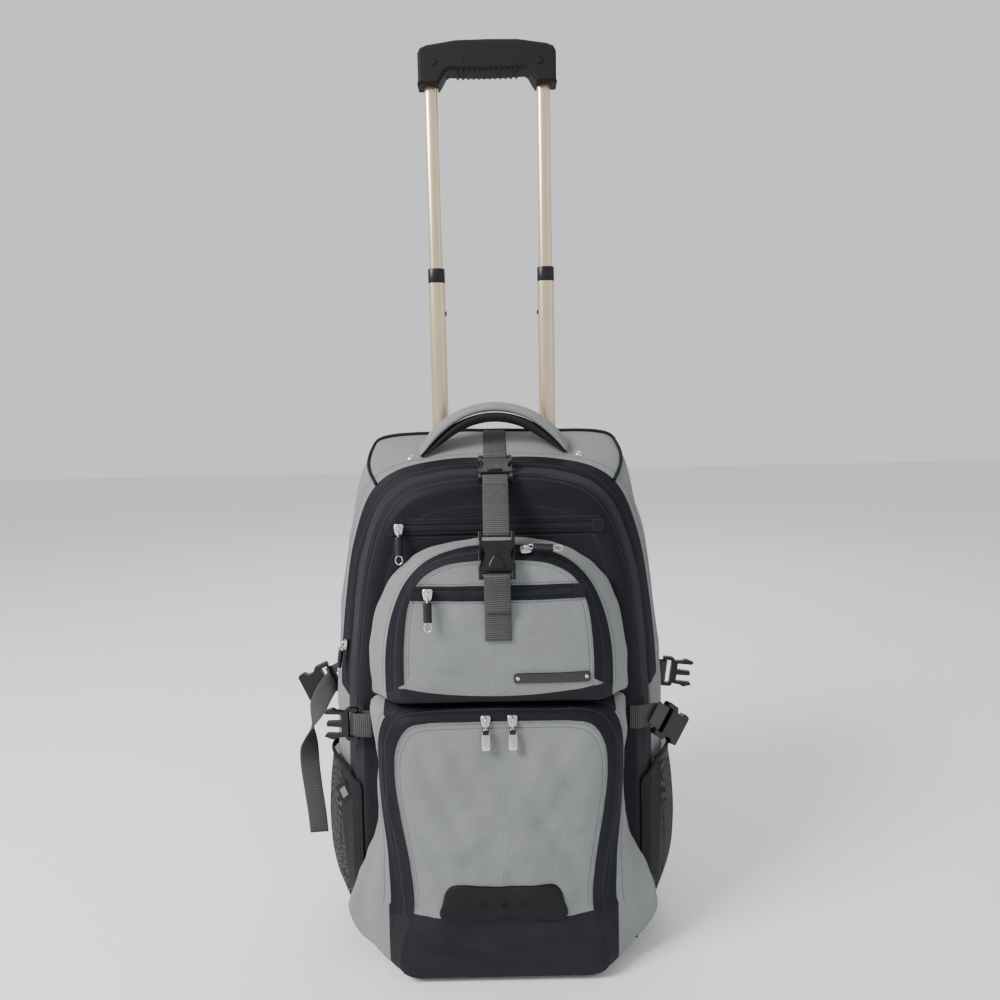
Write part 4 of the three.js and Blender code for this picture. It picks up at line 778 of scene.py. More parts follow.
def strap(shape, node, width=25.0, thick=1.5, per_span=8, kind=0):
    """Webbing along a frame strap's line, with rolled edges; returns its dense line for the stitching."""
    centres, across, out = strap_line(node, width, thick)
    path = spline(centres, per_span)
    share = np.linspace(0, len(centres) - 1, len(path))

    def between(values):
        read = np.stack([np.interp(share, np.arange(len(centres)), values[:, k]) for k in range(3)], axis=1)
        return read / np.linalg.norm(read, axis=1, keepdims=True)

    side, up = between(across), between(out)
    half, r = width / 2, thick / 2
    lower = [(-half, -0.3 * r), (-half + 0.9, -r), (-half / 3, -0.92 * r), (half / 3, -0.92 * r),
             (half - 0.9, -r), (half, -0.3 * r)]
    section = np.array(lower + [(a, -b) for a, b in reversed(lower)])
    a = path[:, None] + section[None, :, :1] * side[:, None] + section[None, :, 1:] * up[:, None]
    lengths = np.concatenate([[0], np.cumsum(np.linalg.norm(np.diff(path, axis=0), axis=1))])
    uv = np.stack(np.broadcast_arrays(section[None, :, 0], lengths[:, None]), axis=2)
    shape.sweep(a, kind, uv)
    return dict(path=path, side=side, up=up, lengths=lengths, half=half, thick=thick)


def on_strap(line, down, across, lift):
    """Points on a strap at lengths down it and places across it."""
    def read(values):
        return np.stack([np.interp(down, line["lengths"], values[:, k]) for k in range(3)], axis=1)
    up = read(line["up"])
    return read(line["path"]) + np.asarray(across)[:, None] * read(line["side"]) + lift * up, up


def stitched_box(shape, line, start, end, facing=1, cross=True, kind=1, half=10.5):
    """The sewn square of a strap, with its cross."""
    rows = [((start, -half), (start, half)), ((end, -half), (end, half)),
            ((start, -half), (end, -half)), ((start, half), (end, half))]
    if cross:
        rows += [((start, -half), (end, half)), ((start, half), (end, -half))]
    for (s0, a0), (s1, a1) in rows:
        lift = facing * line["thick"] * 0.55
        path, up = on_strap(line, np.linspace(s0, s1, 12), np.linspace(a0, a1, 12), lift)
        stitches(shape, path, facing * up, 2.6, 1.8, 0.32, kind)


def slab(shape, flat, origin, u, v, w, thick, soft=1.0, kind=0, crown=0.0):
    """A flat form with softened edges; flat is its outline along u and v, and w is its thickness."""
    flat = np.asarray(flat, float)
    n = inward(flat)
    h = thick / 2
    u, v, w = (np.asarray(axis, float) for axis in (u, v, w))
    rings = []
    for inset, height in ((1.0, -h), (0.3, -h + 0.3 * soft), (0.0, -h + soft), (0.0, h - soft),
                          (0.3, h - 0.3 * soft), (1.0, h), (1.6, h + 0.6 * crown), (2.2, h + crown)):
        if height > h and crown == 0:
            continue
        at = flat + n * inset * soft
        rings.append(np.asarray(origin, float) + at[:, :1] * u + at[:, 1:] * v + height * w)
    return shape.sweep(rings, kind)


def mirrored(right):
    """A closed outline from its right half, bottom to top."""
    left = [(-x, z) for x, z in reversed(right) if abs(x) > 1e-6]
    return list(right) + left


def bar(x0, x1, z0, z1):
    return [(x0, z0), ((x0 + x1) / 2, z0), (x1, z0), (x1, (z0 + z1) / 2), (x1, z1), ((x0 + x1) / 2, z1),
            (x0, z1), (x0, (z0 + z1) / 2)]


def project_cloth(mesh):
    """Texture places in metres, by the axis that each face looks along."""
    layer = mesh.uv_layers.get("Cloth") or mesh.uv_layers.new(name="Cloth")
    for face in mesh.polygons:
        axis = max(range(3), key=lambda k: abs(face.normal[k]))
        a, b = [(1, 2), (0, 2), (0, 1)][axis]
        for corner in face.loop_indices:
            co = mesh.vertices[mesh.loops[corner].vertex_index].co
            layer.data[corner].uv = (co[a], co[b])


def soft_copy(name, node, finish_name, slot, body="root", rounding=2, bevel=0.0):
    """A frame node's form with its edges rounded off."""
    points, faces = merged(node)
    shape = Shape().add(points, faces)
    obj = shape.piece(name, [finish(finish_name)], slot, body, (node,))
    made = bmesh.new()
    made.from_mesh(obj.data)
    bmesh.ops.join_triangles(
        made, faces=made.faces, angle_face_threshold=0.35, angle_shape_threshold=0.9,
        cmp_seam=False, cmp_sharp=False, cmp_uvs=False, cmp_vcols=False, cmp_materials=False)
    made.to_mesh(obj.data)
    made.free()
    project_cloth(obj.data)
    obj.data.shade_smooth()
    if bevel:
        edge = obj.modifiers.new("Edges", "BEVEL")
        edge.width, edge.segments, edge.limit_method = bevel / 1000, 3, "ANGLE"
        edge.angle_limit = math.radians(28)
        edge.harden_normals = True
    if rounding:
        smooth = obj.modifiers.new("Round", "SUBSURF")
        smooth.levels = smooth.render_levels = rounding
    return obj


def carry_over(node, finish_name, bevel=0.5, segments=2):
    """A hard frame node kept as it is, with its edges broken and its own finish."""
    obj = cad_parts[node]
    obj.data.materials.clear()
    obj.data.materials.append(finish(finish_name))
    weld = obj.modifiers.new("Weld", "WELD")
    weld.merge_threshold = 0.00001
    edge = obj.modifiers.new("Edges", "BEVEL")
    edge.width, edge.segments, edge.limit_method = bevel / 1000, segments, "ANGLE"
    edge.angle_limit = math.radians(32)
    smooth = obj.modifiers.new("Smooth", "WEIGHTED_NORMAL")
    smooth.keep_sharp = False


class BACKPACK_OT_main_compartment(bpy.types.Operator):
    """Makes the light grey main compartment with its piping and its zip"""
    bl_idname = "backpack.main_compartment"
    bl_label = "Main compartment"

    def execute(self, context):
        soft = context.scene.backpack_cloth.softness
        table = [
            ((-185, 20, 470), (-150, 35, 330), 13, 2.6), ((-190, 0, 400), (-180, 45, 250), 16, 2.4),
            ((-150, 40, 500), (-178, 10, 400), 10, 2.0), ((-186, 30, 180), (-180, 0, 110), 14, 2.2),
            ((185, 20, 470), (172, 35, 330), 13, 2.6), ((190, 0, 420), (180, 45, 300), 12, 2.8),
            ((150, 40, 505), (176, 5, 430), 9, 2.0), ((186, 30, 240), (182, 0, 160), 14, 2.2),
            ((-90, 10, 552), (-20, 48, 556), 10, 1.4), ((30, 40, 556), (100, 5, 552), 11, 1.4),
        ]
        obj, rows, normals, at_rim, _ = dress_compartment(
            "main", "main_body", 288, all_grey, table, (70, 2.4 * soft, 3.0),
            ("main_compartment", "main_compartment_zip"), [(0, 545, 22, 40)],
        )
        SURFACES["main"] = Surface(obj)
        count = rows.shape[1]
        shape = Shape()
        top = [c for c in range(count) if rows[3, c, 2] > 505]
        tube(shape, rows[3, top] + normals[3, top] * 1.0, 1.9, sides=10)
        for side in (-1, 1):
            column = int(np.argmin(np.abs(rows[10, :, 0] - side * 139) + np.abs(rows[10, :, 2] - 536) * 0.5))
            path = rows[3:at_rim - 1, column] + normals[3:at_rim - 1, column] * 0.8
            tube(shape, path, 1.9, sides=10)
        shape.piece("main_piping", [finish("piping")], "zip_tape")
        return {"FINISHED"}


class BACKPACK_OT_front_compartment(bpy.types.Operator):
    """Makes the charcoal front compartment with its arched zip"""
    bl_idname = "backpack.front_compartment"
    bl_label = "Front compartment"

    def execute(self, context):
        soft = context.scene.backpack_cloth.softness
        table = [((-140, -60, 340), (-120, -60, 300), 9, 1.5), ((140, -60, 330), (122, -60, 290), 9, 1.5),
                 ((-60, -60, 497), (20, -60, 490), 9, 1.0), ((40, -60, 480), (110, -60, 470), 8, 1.0)]
        obj, *_ = dress_compartment(
            "front", "front_body", 264, all_charcoal, table, (60, 1.5 * soft, 8.0),
            ("front_compartment", "front_compartment_zip"), [(0, 500, 22, 40)],
        )
        SURFACES["front"] = Surface(obj)
        return {"FINISHED"}


class BACKPACK_OT_upper_pocket(bpy.types.Operator):
    """Makes the arched upper pocket"""
    bl_idname = "backpack.upper_pocket"
    bl_label = "Upper pocket"

    def execute(self, context):
        soft = context.scene.backpack_cloth.softness

        def zone(points, on_face):
            x, z = np.abs(points[:, 0]), points[:, 2]
            sag = 305 + 9 * np.clip(x / 90, 0, 1) ** 2
            return np.minimum(sag - z, 112 - x)

        table = [((-70, -112, 430), (-40, -112, 380), 9, 1.2), ((60, -112, 330), (20, -112, 360), 10, 1.1),
                 ((-80, -112, 330), (-30, -112, 322), 8, 1.2), ((20, -112, 318), (80, -112, 326), 8, 1.0)]
        obj, *_ = dress_compartment(
            "upper", "upper_pocket_body", 240, zone, table, (52, 2.6 * soft, 12.0),
            ("upper_pocket", "upper_pocket_zip"), [(0, 410, 20, 60), (51, 324, 42, 9), (-64, 392, 12, 26)],
        )
        SURFACES["upper"] = Surface(obj)
        return {"FINISHED"}


class BACKPACK_OT_lower_pocket(bpy.types.Operator):
    """Makes the crowned lower pocket with its charcoal foot"""
    bl_idname = "backpack.lower_pocket"
    bl_label = "Lower pocket"

    def execute(self, context):
        soft = context.scene.backpack_cloth.softness

        def zone(points, on_face):
            x, z = np.abs(points[:, 0]), points[:, 2]
            foot = np.minimum(82 + 2.5 * np.cos(x / 30) - z, 118 - x)
            saddle = np.minimum(z - 280, 116 - x)
            return foot if on_face else np.maximum(foot, saddle)

        table = [
            ((-88, -118, 250), (-40, -118, 170), 11, 2.2), ((-95, -118, 190), (-50, -118, 110), 12, 2.2),
            ((30, -118, 280), (88, -118, 200), 13, 1.8), ((20, -118, 210), (80, -118, 120), 12, 2.0),
            ((-60, -118, 282), (-25, -118, 215), 10, 1.5), ((-85, -118, 96), (-20, -118, 90), 8, 1.2),
            ((-90, -110, 52), (10, -112, 34), 9, 2.2), ((10, -112, 46), (95, -110, 60), 9, 2.2),
            ((-60, -112, 30), (70, -112, 22), 8, 1.8), ((-150, -80, 60), (-128, -75, 180), 10, 2.0),
            ((152, -80, 60), (130, -75, 180), 10, 2.0), ((-140, -85, 30), (-155, -70, 90), 9, 1.6),
            ((-126, -80, 220), (-118, -90, 270), 8, 1.4), ((128, -80, 220), (120, -90, 270), 8, 1.4),
        ]
        obj, *_ = dress_compartment(
            "lower", "lower_pocket_body", 264, zone, table, (50, 4.2 * soft, 21.0),
            ("lower_pocket", "lower_pocket_zip"),
        )
        SURFACES["lower"] = Surface(obj)
        return {"FINISHED"}


def closed_buckle(shape, node, kind=0):
    """A side-release buckle pushed home: socket, prong frame, tongue and the two webbing bars."""
    points, _ = merged(node)
    middle = points.mean(axis=0)
    axes = np.linalg.svd(points - middle, full_matrices=False)[2]
    across = np.array([1.0, 0.0, 0.0])
    along = axes[0] if abs(axes[0][0]) < 0.5 else axes[1]
    along = along - across * (along @ across)
    along /= np.linalg.norm(along)
    if along[2] > 0:
        along = -along
    out = np.cross(across, along)
    if out[1] > 0:
        out = -out
    down = (points - middle) @ along
    lift = (points - middle) @ out
    length = np.ptp(down)
    origin = middle + along * down.min() + out * (lift.min() + lift.max()) / 2
    place = (across, along, out)
    body = mirrored([(0, 9.5), (11, 9.5), (15.6, 9.2), (17.3, 11), (17.2, 14), (15, 18), (13.4, 22),
                     (13.6, 25.5), (16.6, 30), (17.4, 33), (17.4, 36), (15.8, 37.8), (0, 38.2)])
    dense = spline(body, 4, closed=True)
    slab(shape, dense, origin, *place, 7.6, 1.2, kind)
    for side in (-1, 1):
        low, high = sorted((side * 13.6, side * 17.2))
        slab(shape, bar(low, high, 0.2, 10.4), origin, *place, 5.2, 0.7, kind)
        slab(shape, bar(low, high, 37.0, length - 0.2), origin, *place, 5.2, 0.7, kind)
        low, high = sorted((side * 14.6, side * 17.4))
        slab(shape, bar(low, high, 17.5, 27.5), origin - 0.8 * out, *place, 4.0, 0.9, kind)
    for start, end in ((0.2, 3.4), (length - 3.6, length - 0.2)):
        slab(shape, bar(-15.5, 15.5, start, end), origin, *place, 4.6, 0.9, kind)
    slab(shape, bar(-13.6, 13.6, length - 6.9, length - 5.2), origin + 0.6 * out, *place, 3.2, 0.6, kind)
    tongue = mirrored([(0, 23.0), (2.6, 24.0), (5.2, 28.2), (7.4, 33.0), (7.2, 35.6), (0, 36.6)])
    slab(shape, spline(tongue, 4, closed=True), origin + 0.9 * out, *place, 8.4, 0.7, kind, crown=0.9)
    return shape


def ring(shape, centre, normal, radius, thick, kind=0, sides=18, stretch=1.0, long_way=None):
    """A round wire ring; stretch lengthens it along long_way."""
    _, a, b = frames(np.array([centre, np.asarray(centre) + normal]), long_way or (0.3, 0.5, 0.81))
    angle = np.linspace(0, 2 * math.pi, sides, endpoint=False)[:, None]
    path = np.asarray(centre) + radius * (stretch * np.cos(angle) * a[0] + np.sin(angle) * b[0])
    return tube(shape, path, thick, up=np.asarray(normal, float), sides=8, kind=kind, closed=True)


def zip_pull(name, node, hang, out, tip=False):
    """A slider with its bridge, a bound cord or a metal tab, and the ring at its end."""
    points, _ = merged(node)
    middle = points.mean(axis=0)
    out = np.asarray(out, float) / np.linalg.norm(out)
    along = np.linalg.svd(points - middle, full_matrices=False)[2][0]
    if along @ np.asarray(hang, float) < 0:
        along = -along
    out = out - along * (out @ along)
    out /= np.linalg.norm(out)
    side = np.cross(along, out)
    down, lift = (points - middle) @ along, (points - middle) @ out
    top = middle + along * down.min() + out * lift.min()
    length, high = np.ptp(down), np.ptp(lift)
    shape = Shape()
    shield = mirrored([(0, 0.4), (3.0, 0.2), (4.8, 1.6), (4.6, 5.5), (3.6, 9.6), (2.2, 11.4), (0, 11.6)])
    slab(shape, spline(shield, 3, closed=True), top + 1.9 * out, side, along, out, 2.4, 0.6, 0, crown=0.6)
    crest = min(6.6, high - 0.8)
    arch = [top + s * along + h * out for s, h in
            ((2.4, 3.0), (2.6, 4.6), (4.6, crest), (7.6, crest), (9.4, 4.4), (9.6, 3.0))]
    tube(shape, spline(arch, 5), 1.0, up=side, sides=8)
    hold = top + 11.0 * along + 0.72 * high * out
    face = 0.70 * high * out
    ring(shape, hold - 0.6 * along, side, 2.6, 0.75, 0)
    if tip:
        tab = mirrored([(0, 13.0), (2.2, 13.0), (3.4, 15.0), (4.3, length - 5),
                        (3.6, length - 1.0), (0, length - 0.4)])
        slab(shape, spline(tab, 3, closed=True), top + face, side, along, out, 2.2, 0.6, 0, crown=0.4)
        slab(shape, bar(-3.1, 3.1, 13.6, 18.4), top + face, side, along, out, 3.4, 0.7, 1)
    else:
        end = length - 9.5
        s = np.linspace(12.5, end, int((end - 12.5) * 5))
        turns = 3.7 + 0.55 * np.abs(np.sin(math.pi * s / 2.3))
        turns[:2], turns[-2:] = turns[:2] * 0.8, turns[-2:] * 0.8
        tube(shape, [top + k * along + face for k in s], turns, up=out, sides=12, kind=1, flat=0.62)
        ring(shape, top + (length - 5.0) * along + face, out, 3.5, 0.62, 0, 20, 1.25, tuple(along))
    return shape.piece(name, [finish("nickel"), finish("black_cord")], "nickel", stands_for=(node,))


def rivet(shape, point, normal, radius=4.2, height=1.8, kind=0):
    """A low domed stud."""
    normal = np.asarray(normal, float) / np.linalg.norm(normal)
    rings = []
    _, a, b = frames(np.array([point, point + normal]), (0.9, 0.3, 0.31))
    angle = np.linspace(0, 2 * math.pi, 20, endpoint=False)[:, None]
    for share, rise in ((1.0, -0.3), (1.0, 0.12), (0.93, 0.42), (0.72, 0.80), (0.4, 0.97), (0.08, 1.0)):
        turn = np.cos(angle) * a[0] + np.sin(angle) * b[0]
        rings.append(point + normal * rise * height + share * radius * turn)
    return shape.sweep(rings, kind)


def draped_patch(shape, surface, flat, thick, kind=0, steps=(1, 0.985, 0.95, 0.8, 0.6, 0.4, 0.2, 0.04)):
    """A flat piece laid on a surface: its edge rounded, its face following the surface."""
    flat = np.asarray(flat, float)
    centre = flat.mean(axis=0)
    rows = []
    for i, share in enumerate(steps):
        lift = thick * (0.0, 0.75, 1.0)[min(i, 2)]
        path, _ = surface.drape(centre + (flat - centre) * share, lift)
        rows.append(path)
    return shape.sweep(rows, kind)


def rounded_box(x0, x1, z0, z1, r, steps=5):
    """A rounded rectangle, from its bottom right corner and up."""
    line = []
    corners = ((x1 - r, z0 + r, -90), (x1 - r, z1 - r, 0), (x0 + r, z1 - r, 90), (x0 + r, z0 + r, 180))
    for cx, cz, start in corners:
        for a in np.radians(np.linspace(start, start + 90, steps)):
            line.append((cx + r * math.cos(a), cz + r * math.sin(a)))
    return even(np.array(line + line[:1]), 72)[:-1]


def welt(name, surface_key, half, z, height, node, slot="zip_tape"):
    """A welt zip: a frame of folded tape round two lips and a coil, stitched along its top and bottom."""
    surface = SURFACES[surface_key]
    shape = Shape()
    xs = np.linspace(-half, half, 96)
    rows, places = [], []
    half_high = height / 2
    for dz, lift in ((half_high + 2.6, 0.15), (half_high + 2.2, 0.8), (half_high + 0.2, 1.0),
                     (half_high - 1.2, 0.3), (2.2, 0.5), (1.5, 1.1), (0.9, 0.7), (0, 1.2),
                     (-0.9, 0.7), (-1.5, 1.1), (-2.2, 0.5), (1.2 - half_high, 0.3),
                     (-half_high - 0.2, 1.0), (-half_high - 2.2, 0.8), (-half_high - 2.6, 0.15)):
        path, _ = surface.drape([(x, z + dz) for x in xs], lift)
        rows.append(path)
        places.append([(x, dz) for x in xs])
    shape.grid(np.array(rows), 0, np.array(places))
    for side in (-1, 1):
        ends = sorted((side * (half - 9), side * (half + 1.5)))
        block = bar(*ends, z - half_high - 2.0, z + half_high + 2.0)
        draped_patch(shape, surface, spline(block, 3, closed=True), 1.3, 1)
    obj = shape.piece(name, [finish("zip_tape"), finish("charcoal_weave")], slot, stands_for=(node,))
    lines = [[(-half, z + s * (height / 2 + 4.6)), (half, z + s * (height / 2 + 4.6))] for s in (-1, 1)]
    shape = Shape()
    for line in lines:
        flat = even(np.array(line, float), 120)
        path, normals = surface.drape(flat, 0.12)
        stitches(shape, path, normals, 3.2, 2.2, 0.3)
    shape.piece(name + "_stitching", [finish("dark_thread")], slot)
    return obj


class BACKPACK_OT_trims(bpy.types.Operator):
    """Makes the welt zips, the bare plate, the rubber patch, the centre seams and the stitching"""
    bl_idname = "backpack.trims"
    bl_label = "Zips and trims"

    def execute(self, context):
        welt("front_welt", "front", 106, 463, 9, "front_welt_zip")
        welt("upper_welt", "upper", 82, 408, 9, "upper_welt_zip")
        upper, lower = SURFACES["upper"], SURFACES["lower"]
        shape = Shape()
        for x in (-1.5, 1.9):
            flat = even(np.array([(x, 309.0), (x, 398.0)]), 60)
            path, normals = upper.drape(flat, 0.15)
            stitches(shape, path, normals, 3.3, 2.3, 0.34)
            flat = even(np.array([(x, 86.0), (x, 266.0)]), 120)
            path, normals = lower.drape([p for p in flat if p[1] > 118], 0.15)
            stitches(shape, path, normals, 3.3, 2.3, 0.34)
        shape.piece("centre_stitching", [finish("grey_thread")], "grey_cloth")

        shape = Shape()
        plate = rounded_box(14, 88, 319, 329, 1.6)
        draped_patch(shape, upper, plate, 1.5, 0, (1, 0.99, 0.97, 0.8, 0.6, 0.4, 0.2, 0.04))
        for x in (18.0, 84.0):
            point, normal = upper.front(x, 324)
            rivet(shape, point + 1.4 * normal, normal, 1.9, 0.9, 1)
        shape.piece("bare_plate", [finish("gunmetal"), finish("nickel")], "nickel", stands_for=("label_plate",))

        shape = Shape()
        rows = [(0, 1), (0.42, 0.96), (0.79, 0.905), (1, 0.79)]
        right = [(half * 63, 82 + 33 * up) for up, half in rows]
        flat = even(spline([(0, 82)] + right + [(0, 115)] + [(-x, z) for x, z in right[::-1]], 8, closed=True),
                    120, closed=True)
        draped_patch(shape, lower, flat, 3.0, 0, (1, 0.985, 0.955, 0.9, 0.86, 0.6, 0.3, 0.05))
        for x in (-20, 0, 20):
            point, normal = lower.front(x, 97)
            ring(shape, point + 3.0 * normal, normal, 2.7, 0.75, 0, 20)
            rivet(shape, point + 2.9 * normal, normal, 1.3, 0.8, 0)
        shape.piece("rubber_patch", [finish("rubber")], "rubber", stands_for=("bumper_patch",))
        return {"FINISHED"}


class BACKPACK_OT_centre_strap(bpy.types.Operator):
    """Makes the webbing down the middle, its sewn squares and its two closed buckles"""
    bl_idname = "backpack.centre_strap"
    bl_label = "Centre strap"

    def execute(self, context):
        names = ("centre_webbing_top", "centre_webbing_middle", "centre_webbing_tail")
        for name in names:
            shape = Shape()
            line = strap(shape, name)
            whole = line["lengths"][-1]
            facing = -1 if line["up"][len(line["up"]) // 2][1] > 0 else 1
            if name == names[1]:
                stitched_box(shape, line, 0.50 * whole, 0.50 * whole + 20, facing)
            elif name == names[2]:
                low = line["path"][0][2] < line["path"][-1][2]
                for s in (64.0, 66.0):
                    at = s if not low else whole - s
                    path, up = on_strap(line, np.full(10, at), np.linspace(-11, 11, 10), facing * 0.9)
                    stitches(shape, path, facing * up, 2.6, 1.8, 0.3, 1)
            shape.piece(name + "_cloth", [finish("webbing"), finish("dark_thread")], "webbing",
                        stands_for=(name,))
        for node in ("upper_buckle", "lower_buckle"):
            closed_buckle(Shape(), node).piece(
                node + "_shaped", [finish("black_plastic")], "black_plastic", stands_for=(node,), sharp=24)
        return {"FINISHED"}


class BACKPACK_OT_side_straps(bpy.types.Operator):
    """Makes the unfastened straps at both sides with their half buckles"""
    bl_idname = "backpack.side_straps"
    bl_label = "Side straps"

    def execute(self, context):
        for name, width in (("left_front_webbing", 25), ("right_front_webbing", 25), ("right_rear_webbing", 25),
                            ("left_rear_webbing", 22)):
            shape = Shape()
            line = strap(shape, name, width)
            whole = line["lengths"][-1]
            for at in (4.0, 6.5) + ((whole - 8, whole - 6) if name == "left_rear_webbing" else ()):
                for facing in (-1, 1):
                    half = width / 2 - 2
                    path, up = on_strap(line, np.full(9, at), np.linspace(-half, half, 9), facing * 0.85)
                    stitches(shape, path, facing * up, 2.6, 1.8, 0.3, 1)
            shape.piece(name + "_cloth", [finish("webbing"), finish("dark_thread")], "webbing",
                        stands_for=(name,))
        for name in ("left_front_buckle", "right_front_buckle", "right_rear_buckle", "left_rear_buckle"):
            carry_over(name, "black_plastic", 0.7, 3)
        return {"FINISHED"}


class BACKPACK_OT_zip_pulls(bpy.types.Operator):
    """Makes the six zip pulls"""
    bl_idname = "backpack.zip_pulls"
    bl_label = "Zip pulls"

    def execute(self, context):
        front = (0, -1, 0)
        for node, hang, out, tip in (
            ("pull_front_welt", (0, 0, -1), front, False), ("pull_upper_welt", (0, 0, -1), front, False),
            ("pull_lower_left", (0, 0, -1), front, True), ("pull_lower_right", (0, 0, -1), front, True),
            ("pull_main", (0, 0, -1), (-1, -0.35, 0.1), False),
            ("pull_upper_arch", (1, 0, 0), (0, -0.6, 0.8), False),
        ):
            zip_pull(node + "_shaped", node, hang, out, tip)
        return {"FINISHED"}


class BACKPACK_OT_grab_handle(bpy.types.Operator):
    """Makes the padded grab handle, its mesh lining and its rivets"""
    bl_idname = "backpack.grab_handle"
    bl_label = "Grab handle"

    def execute(self, context):
        obj = soft_copy("grab_handle_cloth", "grab_handle", "grey_weave", "grey_cloth")
        obj = soft_copy("grab_lining_cloth", "grab_lining", "spacer_mesh", "mesh_cloth")
        body = SURFACES["main"]
        shape = Shape()
        for x in (-92, 92):
            point, normal = body.hit((x, 17, FAR), (0, 0, -1))
            rivet(shape, point, normal, 4.4, 2.0)
        shape.piece("handle_rivets", [finish("nickel")], "nickel")
        return {"FINISHED"}


def oval(wide, deep, count=36):
    """A stadium section, wide across x and deep across y."""
    a = np.linspace(0, 2 * math.pi, count, endpoint=False)
    power = 2 / 2.5
    x = np.sign(np.cos(a)) * np.abs(np.cos(a)) ** power * wide / 2
    y = np.sign(np.sin(a)) * np.abs(np.sin(a)) ** power * deep / 2
    return np.stack([x, y], axis=1)


def rod(shape, x, y, wide, deep, stations, kind=0, wall=0.0):
    """An oval rod through (height, size share) stations, or a tube with that wall."""
    def rings(flat, rows):
        return [np.stack([x + flat[:, 0] * s, y + flat[:, 1] * s, np.full(len(flat), z)], axis=1)
                for z, s in rows]

    outside = rings(oval(wide, deep), stations)
    if not wall:
        return shape.sweep(outside, kind)
    inside = rings(oval(wide - 2 * wall, deep - 2 * wall), [(z, 1) for z, _ in stations])
    return shape.sweep(outside + inside[::-1] + outside[:1], kind, caps=False)


class BACKPACK_OT_trolley(bpy.types.Operator):
    """Makes the telescoping tubes with their collars, the catch buttons, the bezel and the grip"""
    bl_idname = "backpack.trolley"
    bl_label = "Trolley handle"

    def execute(self, context):
        for side, word in ((-1, "left"), (1, "right")):
            x = side * TUBE_X
            shape = Shape()
            rod(shape, x, TUBE_Y, 24.8, 18.8, [(18.3, 0.97), (19.5, 1), (546, 1), (547, 0.97)], wall=1.2)
            shape.piece(f"outer_stage_{word}", [finish("anodised")], "anodised_tube",
                        stands_for=(f"outer_tube_{word}",), sharp=40)
            shape = Shape()
            rod(shape, x, TUBE_Y, 19.0, 15.0, [(495, 0.97), (497, 1), (725, 1)], wall=1.2)
            rod(shape, x, TUBE_Y, 19.0, 15.0, [(724, 1.0), (725, 1.03), (739, 1.03), (740, 0.97)], 1, wall=1.2)
            shape.piece(f"middle_stage_{word}", [finish("anodised"), finish("black_plastic")], "anodised_tube",
                        "middle_stage", (f"middle_tube_{word}",), sharp=40)
            shape = Shape()
            rod(shape, x, TUBE_Y, 15.1, 11.1, [(688, 0.97), (690, 1), (961, 1), (962, 0.97)])
            shape.piece(f"inner_stage_{word}", [finish("anodised")], "anodised_tube", "inner_stage",
                        (f"inner_tube_{word}",), sharp=40)
            carry_over(f"catch_button_{word}", "black_plastic", 0.2)
        carry_over("tube_bezel", "black_plastic", 0.8, 3)
        carry_over("release_button", "black_plastic", 0.5, 3)
        top = GRIP_TOP
        soft_copy("grip", "handle_grip", "grip_plastic", "black_plastic", "inner_stage", rounding=0, bevel=0.9)
        shape = Shape()
        for x in np.linspace(-33, 33, 12):
            path = [(x, TUBE_Y + y, top - 32.3 + 0.9 * (abs(y) / 12) ** 4) for y in np.linspace(-12.5, 12.5, 9)]
            tube(shape, path, 1.5, up=(0, 0, 1), sides=8)
        for x, z in ((-58, top - 24), (58, top - 24)):
            rivet(shape, np.array([x, TUBE_Y - 14.0, z]), (0, -1, 0), 3.0, 0.6, 0)
            ring(shape, (x, TUBE_Y - 14.0, z), np.array([0, -1.0, 0]), 3.6, 0.5, 0, 24)
        for x in (-27, 27):
            rivet(shape, np.array([x, TUBE_Y - 14.0, top - 24]), (0, -1, 0), 1.7, 0.5, 0)
        shape.piece("grip_ribs", [finish("grip_plastic")], "black_plastic", "inner_stage")
        return {"FINISHED"}


class BACKPACK_OT_base(bpy.types.Operator):
    """Finishes the tray, the wheels and the axles"""
    bl_idname = "backpack.base"
    bl_label = "Base and wheels"

    def execute(self, context):
        carry_over("base_tray", "black_plastic", 1.4, 3)
        for word in ("left", "right"):
            carry_over(f"wheel_{word}", "rubber", 1.0, 3)
            carry_over(f"axle_{word}", "nickel", 0.4, 3)
        return {"FINISHED"}


def body_side(side, y, z, nodes):
    """How far out the bag reaches at one depth and height."""
    found = cad_surface(*nodes).hit((side * FAR, y, z), (-side, 0, 0))
    return abs(found[0][0]) if found else 120.0


SHELLS = ("main_compartment", "front_compartment", "upper_pocket", "lower_pocket", "back_panel")


